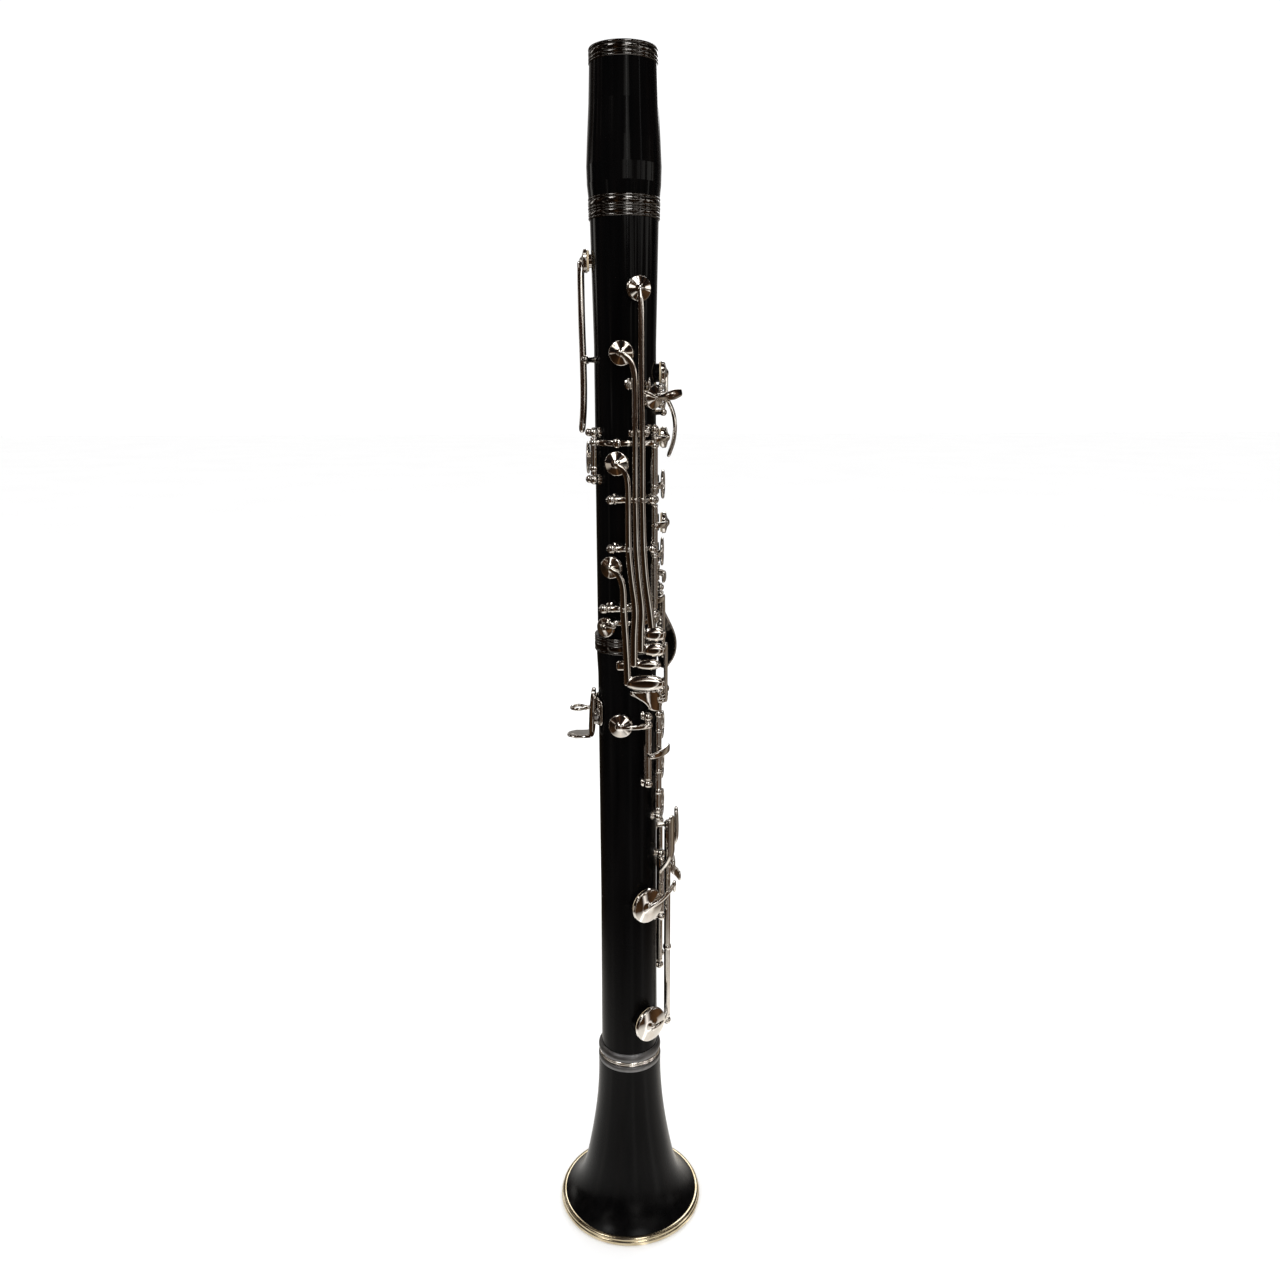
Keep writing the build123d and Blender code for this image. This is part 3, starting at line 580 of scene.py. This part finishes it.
# left-hand E flat
bm = shapes["e_flat_key"]
arm(bm, -18, 34, 18.9, 1.4, 361.0, 5.2, 3.0)
arm(bm, 34, 56, 18.9, 1.4, 363.8, 2.6)
bar(bm, 55, [(18.9, 363.8), (19.1, 371.0)], 2.6, 1.4)

# lower stack
bm = shapes["lower_ring_key"]
for z in (284.0, 262.5, 241.5):
    finger_ring(bm, z, 0, 16.1, 7.2, 5.4)
    arm(bm, -30.5, -20, 17.3, 1.5, z, 4.4, 3.6)
    ball(bm, polar(-30.5, 18.0, z), 2.15, 0.8)
for z in (292.6, 251.5):
    ball(bm, polar(-30.5, 18.0, z), 2.3)
arm(bm, -30.5, -3, 19.1, 1.6, 300.6, 3.2, 2.2)
arm(bm, -30.5, -19, 20.2, 1.4, 300.2, 3.4)
strut(bm, -30.5, 18.4, 20.4, 300.2, 3.2, 2.2, 2.2)
bar(bm, -20, [(20.2, 299.6), (20.2, 327.2)], 3.2, 1.4)
wing = [(-30.5, 297.0, 5.6), (-36, 298.0, 7.4), (-42, 300.4, 10.6), (-50, 302.4, 8.2), (-60, 303.7, 5.8),
        (-70, 304.8, 3.8), (-79, 305.7, 2.4)]
sweep(bm, [[*polar(theta, 18.9, z), width, 1.3] for theta, z, width in wing])

# right-hand sliver
bm = shapes["b_sliver_key"]
arm(bm, -55, -100.5, 19.0, 1.7, 288.6, 3.0, 2.0)
arm(bm, -55, -14, 21.4, 1.4, 273.2, 3.0, 4.6)
strut(bm, -55, 18.4, 21.6, 273.2, 3.0, 2.2, 2.0)
ball(bm, polar(-55, 18, 288.6), 2.3, 0.8)

# little-finger keys of the right hand
bm = shapes["low_f_key"]
hook = [(-59, 19.6, 190.5, 2.6), (-42, 21.6, 192.6, 2.6), (-22, 24.0, 196.0, 2.8), (-8, 25.0, 197.4, 3.2),
        (-5, 24.8, 192.5, 3.4)]
sweep(bm, rounded([(*polar(theta, r, z), width, 1.6) for theta, r, z, width in hook], 4.0))
key_arm("low_f_key", 190.5, 3.0)
bar(bm, -27, [(18.6, 207.0, 4.0), (21.6, 211.0, 5.5), (24.4, 216.0, 7.6), (24.2, 235.6, 7.4)], 7.0, 2.2)
arm(bm, -28, -18, 18.6, 1.6, 207.0, 3.4)
bm = shapes["low_e_key"]
key_arm("low_e_key", 119.0, 3.0, 19.9)
arm(bm, -9, 3, 21.4, 1.6, 218.0, 3.6)
bar(bm, -8, [(21.6, 217.6, 4.0), (25.0, 222.0, 6.0), (25.2, 230.0, 7.6), (24.8, 237.4, 7.0)], 7.0, 2.2)
ball(bm, polar(3, 20.6, 157.0), 2.3)
bm = shapes["a_flat_key"]
key_arm("a_flat_key", 150.0, 3.0, 19.1)
arm(bm, -12, 22, 24.1, 1.5, 206.6, 8.0, 6.0)
strut(bm, 22, 18.6, 24.0, 206.6, 5.0, 2.2, 2.0)
bm = shapes["f_sharp_key"]
key_arm("f_sharp_key", 178.0, 3.0)
arm(bm, 8, 100, 26.2, 1.4, 196.0, 6.0, 4.4)
strut(bm, 100, 18.2, 26.4, 196.0, 4.0, 2.2, 2.0)

# keys that stand open are turned about their hinges
for name, angle in OPEN_ANGLE.items():
    theta, r = HINGES[name][:2]
    hinge = polar(theta, r, 0)
    turn = Matrix.Rotation(math.radians(angle), 4, "Z")
    shapes[name].transform(Matrix.Translation(hinge) @ turn @ Matrix.Translation(-hinge))


# ---------------------------------------------------------------- keys on cross pivots
def tube_profile(half):
    """Profile of a short tube, half its length to each side."""
    wide, edge = CROSS_TUBE_RADIUS, CROSS_TUBE_RADIUS - 0.15
    return [(1.0, -half), (edge, -half), (wide, 0.15 - half), (wide, half - 0.15), (edge, half), (1.0, half)]


def crosswise(theta):
    """Direction round the bore at an angle."""
    return Vector((-math.sin(math.radians(theta)), math.cos(math.radians(theta)), 0.0))


def cross_tube(bm, theta, r, z, half):
    """Hinge tube across a lever."""
    lathe(bm, tube_profile(half), polar(theta, r, z), crosswise(theta), 28, closed=True)


bm = shapes["register_key"]
spots = [(20.0, 506.0, 2.4), (20.1, 500.0, 4.0), (20.0, 480.0, 4.8), (19.6, 463.4, 4.6)]
bar(bm, 180, spots + [(19.5, 450.0, 4.8), (19.8, 440.0, 5.4), (20.5, 432.8, 5.6)], 4.2, 3.3, 5.0)
cross_tube(bm, 180, 18.4, 463.4, 2.9)
bm = shapes["a_key"]
spots = [(19.2, 456.5, 2.0), (19.1, 446.5, 3.0), (22.4, 440.5, 4.0), (23.7, 433.5, 5.0)]
bar(bm, 0, spots + [(22.9, 426.0, 5.8), (20.9, 420.6, 5.2)], 3.4, 2.0, 4.0)
bar(bm, 0, [(19.0, 446.5), (17.9, 440.5)], 3.0, 1.4)
cross_tube(bm, 0, 17.8, 439.5, 2.4)
for name, theta, top in (("left_lever_e", 66, 317.0), ("left_lever_f_sharp", 114, 311.0)):
    shapes[name] = bm = bmesh.new()
    spots = [(20.9, top + 1.0, 6.0), (20.9, top - 5.0, 9.6), (20.5, top - 12.0, 7.6), (19.6, top - 20.0, 3.4)]
    bar(bm, theta, spots + [(19.0, 262.0, 3.2), (19.0, 236.4, 3.0)], 3.2, 1.6, 5.0)
    cross_tube(bm, theta, 17.8, 262.0, 2.2)

# ---------------------------------------------------------------- side trill keys
SIDE_LEVERS = {
    "side_key_4": ([(7.0, 493.0), (7.5, 486.0), (7.5, 450.0), (7.9, 430.0), (7.9, 400.0), (8.2, 377.0),
                    (9.3, 362.0), (11.2, 348.0), (12.4, 337.0)], 400.0, 6.3, 9.2),
    "side_key_3": ([(-1.6, 466.0), (2.6, 463.5), (4.3, 458.0), (4.6, 450.0), (4.6, 400.0), (4.9, 377.0),
                    (6.0, 362.0), (7.6, 348.0), (7.0, 338.0), (7.0, 328.4)], 400.0, -4.2, 6.0),
    "side_key_2": ([(-4.3, 416.7), (-0.6, 414.0), (1.2, 409.0), (1.2, 377.0), (2.6, 362.0), (4.5, 348.0),
                    (3.6, 335.0), (3.6, 321.4)], 377.0, -4.2, 2.6),
    "side_key_1": ([(-7.6, 367.9), (-3.2, 365.0), (-1.3, 359.0), (-1.3, 348.0), (-0.5, 335.0), (0.2, 320.0),
                    (0.4, 312.0)], 348.0, -7.7, -0.2),
}
SIDE_TOUCHES = {
    "side_key_4": (13.7, 336.2, 10.6, 7.2),
    "side_key_3": (13.4, 328.4, 10.8, 6.6),
    "side_key_2": (10.4, 321.0, 12.4, 5.4),
    "side_key_1": (9.0, 311.8, 19.0, 8.0),
}
SIDE_PIVOT_Y = -16.9
FRONT, BACK, RIGHT, UP = (0, -1, 0), (0, 1, 0), (1, 0, 0), (0, 0, 1)


def side_width(place, z):
    """Width of a side lever, narrow at its cup and wider towards its touch."""
    if place == 0:
        return 1.7
    if z < 350:
        return 3.5
    return 3.1 if z < 378 else 2.7


for name, (corners, pivot, tube_from, tube_to) in SIDE_LEVERS.items():
    bm = shapes[name]
    spots = [(x, -19.65, z, side_width(i, z), 1.7) for i, (x, z) in enumerate(corners)]
    sweep(bm, rounded(spots, 6.0, 8), up=FRONT, power=4.0)
    touch_x, touch_z, length, height = SIDE_TOUCHES[name]
    pillow(bm, (touch_x, -19.6, touch_z), RIGHT, FRONT, length, height, 1.9)
    pillow(bm, (touch_x, -19.7, touch_z), RIGHT, BACK, length, height, 0.9)
    end_x, end_z = corners[-1]
    tie = [(end_x, -19.6, end_z + 3.0, 2.3, 1.6), (touch_x * 0.6 + end_x * 0.4, -19.6, touch_z, 3.0, 1.6)]
    sweep(bm, tie, up=FRONT)
    lever_x = [x for x, z in corners if z == pivot][0]
    middle, half = (tube_from + tube_to) / 2, (tube_to - tube_from) / 2
    lathe(bm, tube_profile(half), (middle, SIDE_PIVOT_Y, pivot), RIGHT, 28, closed=True)
    sweep(bm, [(lever_x, SIDE_PIVOT_Y, pivot, 2.2, 3.2), (lever_x, -19.6, pivot, 2.2, 3.0)], up=UP)
bm = shapes["side_key_1"]
pillow(bm, (-2.1, -19.3, 320.4), RIGHT, FRONT, 6.0, 5.0, 0.9, 3.5)

for name, bm in shapes.items():
    piece(name + "_work", bm, name, "nickel", [name], 50)


# ---------------------------------------------------------------- posts, rods and guides
MIDDLE_BAND_TOP = 332
MIDDLE_BAND_LOW = 324


def post(bm, theta, r, z, radius=2.1, base=True):
    """Ball post: flange on the body, waisted neck and ball."""
    direction = outward(polar(theta, 1, 0))
    foot = 14.2 if z > MIDDLE_BAND_TOP else 14.4
    neck = [(1.35, foot - 1.0), (1.35, foot)]
    if base:
        neck = [(2.3, foot - 0.2), (2.35, foot + 0.5), (2.0, foot + 0.75), (1.35, foot + 1.05)]
    stem = [(0.0, foot - 1.0)] + neck
    start = max(math.asin(min(1.0, 1.15 / radius)), 0.3)
    crown = []
    for k in range(8):
        a = -math.pi / 2 + start + (math.pi - start) * k / 8
        crown.append((radius * math.cos(a), r + radius * math.sin(a)))
    crown.append((0.0, r + radius))
    crown = [spot for spot in crown if spot[1] > stem[-1][1] + 0.05]
    lathe(bm, stem + crown, (0, 0, z), direction, 28)


def screw(bm, place, direction, radius=1.15, stand=0.5):
    """Slotted end of a hinge rod."""
    direction = Vector(direction).normalized()
    place = Vector(place)
    profile = [(0.0, 0.0), (radius, 0.0), (radius, stand - 0.15), (radius - 0.15, stand), (0.3, stand)]
    profile += [(0.3, stand - 0.3), (0.0, stand - 0.3)]
    lathe(bm, profile, place, direction, 24)


POST_BALL = 2.1
SMALL_BALLS = {"g_sharp_key": 1.5, "c_sharp_key": 1.8, "e_flat_key": 1.8}
ROCKERS = {
    "register_key": (180, 18.4, 463.4, 5.1),
    "a_key": (0, 17.8, 439.5, 4.2),
    "left_lever_e": (66, 17.8, 262.0, 4.3),
    "left_lever_f_sharp": (114, 17.8, 262.0, 4.3),
}
SIDE_POSTS = [
    (-10.6, 348.0, 2.1), (1.65, 348.0, 1.35), (-6.6, 377.0, 2.1), (12.4, 377.0, 1.9),
    (-6.6, 400.0, 2.1), (12.4, 400.0, 1.9),
]
SIDE_RODS = [(348.0, -13.2, 3.1), (377.0, -9.2, 14.8), (400.0, -9.2, 14.8)]
upper_bm, lower_bm, rod_bm = bmesh.new(), bmesh.new(), bmesh.new()
for name, (theta, r, low, high) in HINGES.items():
    size = SMALL_BALLS.get(name, POST_BALL)
    target = lower_bm if high < MIDDLE_BAND_LOW else upper_bm
    ends = [low - size - 0.2, high + size + 0.2]
    if name == "bridge_ring_key":
        ends = ends[:1]
    for z in ends:
        post(target, theta, r, z, size + 0.15)
    if name != "upper_ring_key":
        top = 433.0 if name == "bridge_ring_key" else high + size + 1.2
        rod(rod_bm, polar(theta, r, low - size - 1.2), polar(theta, r, top), 0.9)
    screw(rod_bm, polar(theta, r, high + 2 * size - 0.1), (0, 0, 1), 1.0, 0.6)
for name, (theta, r, z, spacing) in ROCKERS.items():
    target = lower_bm if z < MIDDLE_BAND_LOW else upper_bm
    across = crosswise(theta)
    middle = polar(theta, r, z)
    rod(rod_bm, middle - across * (spacing + 0.8), middle + across * (spacing + 0.8), 0.9)
    for side in (-spacing, spacing):
        angle = theta + math.degrees(math.atan2(side, r))
        post(target, angle, math.hypot(r, side), z, 1.95 if name == "register_key" else 1.7, False)
    screw(rod_bm, middle + across * (spacing + 1.45), across, 0.9, 0.5)
for z, x0, x1 in SIDE_RODS:
    rod(rod_bm, (x0, SIDE_PIVOT_Y, z), (x1, SIDE_PIVOT_Y, z), 0.9)
    for x, height, size in SIDE_POSTS:
        if height == z:
            angle = math.degrees(math.atan2(SIDE_PIVOT_Y, x))
            post(upper_bm, angle, math.hypot(x, SIDE_PIVOT_Y), z, size + 0.3)
            if x < 0:
                screw(upper_bm, (x + 2.0, SIDE_PIVOT_Y, z), RIGHT, 1.9, 0.9)
for z in (430.5, 408.7):
    post(upper_bm, -162, 18.0, z, 1.9)
piece("upper_pillars", upper_bm, "body", "nickel", ["upper_posts"], 50)
piece("lower_pillars", lower_bm, "body", "nickel", ["lower_posts"], 50)
piece("rods_and_screws", rod_bm, "body", "steel", ["hinge_rods"], 50)

bm = bmesh.new()
for x in (2.4, 10.4):
    angle, r = math.degrees(math.atan2(-16.6, x)), math.hypot(x, 16.6)
    post(bm, angle, r, 452.4, 1.5)
    side = math.copysign(0.5, x - 6.0)
    sweep(bm, [(x + side, -15.6, 452.4, 4.4, 1.0), (x + side, -18.2, 452.4, 6.0, 1.0),
               (x + side * 1.4, -20.9, 452.4, 5.4, 0.9)], up=(1, 0, 0))
for x in (2.75, 6.25, 9.75):
    spots = [(x, -16.3, 430.4, 3.4, 0.45), (x, -21.2, 430.4, 2.8, 0.45)]
    sweep(bm, spots, up=(1, 0, 0))
sweep(bm, [(2.6, -16.7, 430.4, 3.2, 1.1), (9.9, -16.7, 430.4, 3.2, 1.1)], up=(0, -1, 0))
stud = [(0.0, 13.6), (2.2, 13.9), (2.2, 14.7), (1.4, 15.0), (1.4, 16.4), (0.0, 16.4)]
lathe(bm, stud, (0, 0, 430.4), outward(polar(-69.5, 1, 0)), 28)
piece("lever_guides", bm, "body", "nickel", ["key_guides"], 50)

# needle springs: from a post to a catch on the hinge tube
bm = bmesh.new()
for name, (theta, r, low, high) in HINGES.items():
    if high - low < 15:
        continue
    size = SMALL_BALLS.get(name, POST_BALL)
    start = polar(theta - 5.5, r - 0.4, low - size - 0.2)
    finish = polar(theta - 6.5, r - 0.1, low + min(22.0, 0.6 * (high - low)))
    rod(bm, start, finish, 0.28, 0.05)
piece("needle_springs", bm, "body", "steel")


# ---------------------------------------------------------------- thumb rest and strap ring
bm = bmesh.new()
rows = []
for t in range(0, 13):
    theta = 148 + 64 * t / 12
    taper = 1 - 0.22 * abs(t - 6) / 6
    rows.append((*polar(theta, 15.35, 292.6), 16.8 * taper, 1.35))
sweep(bm, rows, power=4.0)
spots = [(-17.1, 0, 300.6, 8.0, 2.6), (-17.5, 0, 294.0, 9.3, 3.4), (-18.1, 0, 281.4, 9.3, 3.4)]
spots += [(-18.2, 0, 279.2, 9.3, 2.0), (-22.0, 0, 278.9, 9.6, 1.8), (-26.5, 0, 278.9, 9.8, 1.8)]
sweep(bm, rounded(spots, 2.5), up=(-1, 0, -0.4), power=7.0)
pillow(bm, (-24.4, 0, 278.9), (1, 0, 0), (0, 0, 1), 13.0, 10.2, 1.0, 2.6, 3.0)
pillow(bm, (-24.4, 0, 278.9), (1, 0, 0), (0, 0, -1), 13.0, 10.2, 0.9, 2.6, 3.0)
piece("thumb_support", bm, "body", "nickel", ["thumb_rest"], 50)
bm = bmesh.new()
boss = [(0.0, 16.8), (2.3, 16.8), (2.4, 17.6), (1.9, 18.0), (1.2, 18.6), (1.1, 20.4), (1.6, 20.9)]
lathe(bm, boss + [(1.6, 21.6), (0.0, 21.9)], (0, 0, 293.2), (-1, 0, 0), 28)
loop = [(3.4 + 0.8 * math.cos(math.radians(a)), 0.8 * math.sin(math.radians(a))) for a in range(0, 360, 24)]
lathe(bm, loop, (-25.0, 0, 293.2), (0, 0, 1), 40, closed=True)
piece("neck_strap_eye", bm, "body", "nickel", ["strap_ring"], 50)
bm = bmesh.new()
for theta in (157, 203):
    head = [(0.0, 15.7), (2.0, 15.75), (2.0, 16.25), (1.6, 16.55), (0.35, 16.6), (0.35, 16.3), (0.0, 16.3)]
    lathe(bm, head, (0, 0, 292.5), outward(polar(theta, 1, 0)), 28)
knob = [(0.0, 14.6), (2.6, 14.6), (2.6, 15.2), (2.9, 15.4), (2.9, 16.6), (2.4, 16.8), (0.0, 16.8)]
lathe(bm, knob, (0, -5.6, 289.0), (-1, 0, 0), 20)
piece("support_screws", bm, "body", "steel", ["thumb_rest_screws"], 50)


# ---------------------------------------------------------------- stage, light and camera
def panel(name, corners):
    """Flat sheet of stage from four corners."""
    mesh = bpy.data.meshes.new(name)
    mesh.from_pydata(corners, [], [(0, 1, 2, 3)])
    thing = bpy.data.objects.new(name, mesh)
    bpy.context.collection.objects.link(thing)
    return thing


floor = panel("floor", [(-9, -9, 0), (9, -9, 0), (9, 9, 0), (-9, 9, 0)])
floor_mat, floor_tree, floor_shader, floor_add = new_material("floor_white")
floor_cloud = object_noise(floor_tree, floor_add, 3.0)
floor_tree.links.new(
    ramp(floor_tree, floor_add, floor_cloud, [(0.3, (0.955, 0.955, 0.955)), (0.7, (0.975, 0.975, 0.975))]),
    floor_shader.inputs["Base Color"],
)
floor_shader.inputs["Roughness"].default_value = 0.9
floor_shader.inputs["Specular IOR Level"].default_value = 0.1
floor_mirrored = floor_add("ShaderNodeEmission", Strength=1.0)
floor_coords = floor_add("ShaderNodeTexCoord")
floor_reach = floor_add("ShaderNodeVectorMath", operation="LENGTH")
floor_tree.links.new(floor_coords.outputs["Object"], floor_reach.inputs[0])
floor_glow = spread(floor_tree, floor_add, floor_reach.outputs["Value"], 0.0, 1.0, 0.0, 1.0)
disc = ramp(floor_tree, floor_add, floor_glow, [(0.0, (1.05, 1.04, 1.01)), (0.20, (0.74, 0.71, 0.66)),
                                                (0.32, (0.030, 0.015, 0.007)), (1.0, (0.008, 0.004, 0.002))])
around = floor_add("ShaderNodeTexGradient", gradient_type="RADIAL")
floor_tree.links.new(floor_coords.outputs["Object"], around.inputs["Vector"])
streaks = ramp(floor_tree, floor_add, around.outputs["Fac"], [
    (0.0, (0.0, 0.0, 0.0)), (0.045, (0.0, 0.0, 0.0)), (0.056, (0.55, 0.50, 0.44)), (0.068, (0.0, 0.0, 0.0)),
    (0.160, (0.01, 0.005, 0.002)), (0.180, (0.10, 0.05, 0.02)), (0.200, (0.01, 0.005, 0.002)),
    (0.268, (0.0, 0.0, 0.0)), (0.281, (0.90, 0.86, 0.80)), (0.294, (0.0, 0.0, 0.0)),
    (0.340, (0.03, 0.015, 0.006)), (0.392, (0.01, 0.005, 0.002)), (0.406, (1.1, 1.05, 1.0)),
    (0.428, (0.02, 0.01, 0.004)), (0.490, (0.07, 0.035, 0.015)), (0.530, (0.01, 0.006, 0.003)),
    (0.600, (0.30, 0.26, 0.21)), (0.640, (0.03, 0.02, 0.012)),
    (0.745, (0.36, 0.35, 0.33)), (0.820, (0.04, 0.03, 0.02)), (1.0, (0.0, 0.0, 0.0)),
])
floor_sum = floor_add("ShaderNodeMix", data_type="RGBA", blend_type="ADD")
floor_sum.inputs[0].default_value = 1.0
floor_tree.links.new(disc, floor_sum.inputs[6])
floor_tree.links.new(streaks, floor_sum.inputs[7])
floor_tree.links.new(floor_sum.outputs[2], floor_mirrored.inputs["Color"])
floor_path = floor_add("ShaderNodeLightPath")
floor_mix = floor_add("ShaderNodeMixShader")
floor_tree.links.new(floor_path.outputs["Is Glossy Ray"], floor_mix.inputs["Fac"])
floor_tree.links.new(floor_shader.outputs["BSDF"], floor_mix.inputs[1])
floor_tree.links.new(floor_mirrored.outputs["Emission"], floor_mix.inputs[2])
floor_tree.links.new(floor_mix.outputs["Shader"], floor_tree.nodes["Material Output"].inputs["Surface"])
floor.data.materials.append(floor_mat)

world = bpy.data.worlds.new("studio")
bpy.context.scene.world = world
world.use_nodes = True
sky = world.node_tree


def sky_node(kind, **values):
    """Node of the surroundings."""
    node = sky.nodes.new(kind)
    for key, value in values.items():
        if key in node.inputs:
            node.inputs[key].default_value = value
        else:
            setattr(node, key, value)
    return node


white = sky.nodes["Background"]
white.inputs["Color"].default_value = (1.0, 1.0, 1.0, 1.0)
white.inputs["Strength"].default_value = 1.06
room = sky_node("ShaderNodeBackground", Strength=1.0)
direction = sky_node("ShaderNodeTexCoord")
clouds = sky_node("ShaderNodeTexNoise", Scale=3.1, Detail=2.5, Roughness=0.55)
sky.links.new(direction.outputs["Generated"], clouds.inputs["Vector"])
patches = sky_node("ShaderNodeValToRGB")
stops = [
    (0.40, (0.004, 0.003, 0.003)),
    (0.50, (0.022, 0.011, 0.006)),
    (0.585, (0.09, 0.05, 0.028)),
    (0.63, (1.7, 1.65, 1.55)),
]
while len(patches.color_ramp.elements) < len(stops):
    patches.color_ramp.elements.new(0.5)
for point, (place, colour) in zip(patches.color_ramp.elements, stops):
    point.position = place
    point.color = (*colour, 1.0)
sky.links.new(clouds.outputs["Fac"], patches.inputs["Fac"])
axes = sky_node("ShaderNodeSeparateXYZ")
sky.links.new(direction.outputs["Generated"], axes.inputs["Vector"])
behind = sky_node("ShaderNodeMapRange")
behind.inputs["From Min"].default_value = 0.55
behind.inputs["From Max"].default_value = 1.0
behind.inputs["To Min"].default_value = 0.0
behind.inputs["To Max"].default_value = 0.85
sky.links.new(axes.outputs["Y"], behind.inputs["Value"])
glow = sky_node("ShaderNodeMix", data_type="RGBA")
sky.links.new(behind.outputs["Result"], glow.inputs["Factor"])
sky.links.new(patches.outputs["Color"], glow.inputs[6])
glow.inputs[7].default_value = (0.3, 0.29, 0.28, 1.0)
sky.links.new(glow.outputs[2], room.inputs["Color"])
path = sky_node("ShaderNodeLightPath")
choice = sky_node("ShaderNodeMixShader")
sky.links.new(path.outputs["Is Glossy Ray"], choice.inputs["Fac"])
sky.links.new(white.outputs["Background"], choice.inputs[1])
sky.links.new(room.outputs["Background"], choice.inputs[2])
sky.links.new(choice.outputs["Shader"], sky.nodes["World Output"].inputs["Surface"])


def area_light(name, azimuth, distance, height, aim, size_x, size_y, power, colour=(1, 1, 1)):
    """Soft box at an angle to the right of the camera direction."""
    data = bpy.data.lights.new(name, "AREA")
    data.shape = "RECTANGLE"
    data.size = size_x
    data.size_y = size_y
    data.energy = power
    data.color = colour
    lamp = bpy.data.objects.new(name, data)
    bpy.context.collection.objects.link(lamp)
    angle = math.radians(azimuth)
    place = Vector((distance * math.sin(angle), -distance * math.cos(angle), height))
    lamp.location = place
    lamp.rotation_euler = (Vector((0, 0, aim)) - place).to_track_quat("-Z", "Y").to_euler()
    return lamp


area_light("strip_near", 11, 1.8, 1.1, 0.9, 0.05, 0.85, 0.5)
area_light("strip_right", 56, 1.8, 1.1, 0.9, 0.08, 0.85, 0.3)
area_light("ceiling_box", 20, 1.1, 1.7, 0.4, 0.45, 0.4, 4.0)
area_light("ceiling_left", -45, 1.2, 1.4, 0.4, 0.3, 0.3, 2.0)
area_light("back_box", 165, 1.4, 1.3, 0.3, 0.8, 0.8, 6.0)

camera_data = bpy.data.cameras.new("camera")
camera = bpy.data.objects.new("camera", camera_data)
bpy.context.collection.objects.link(camera)
camera_data.sensor_width = 36.0
camera_data.lens = 36.0 * 1023.0 / 1280.0
camera_data.clip_start = 0.01
camera.location = (0.0065, -0.4957, 0.4531)
camera.rotation_euler = (math.radians(90.0) - 0.2466, 0.0, 0.0)
camera.rotation_euler.rotate_axis("Z", -0.0034)
bpy.context.scene.camera = camera
bpy.context.scene.view_settings.view_transform = "Standard"
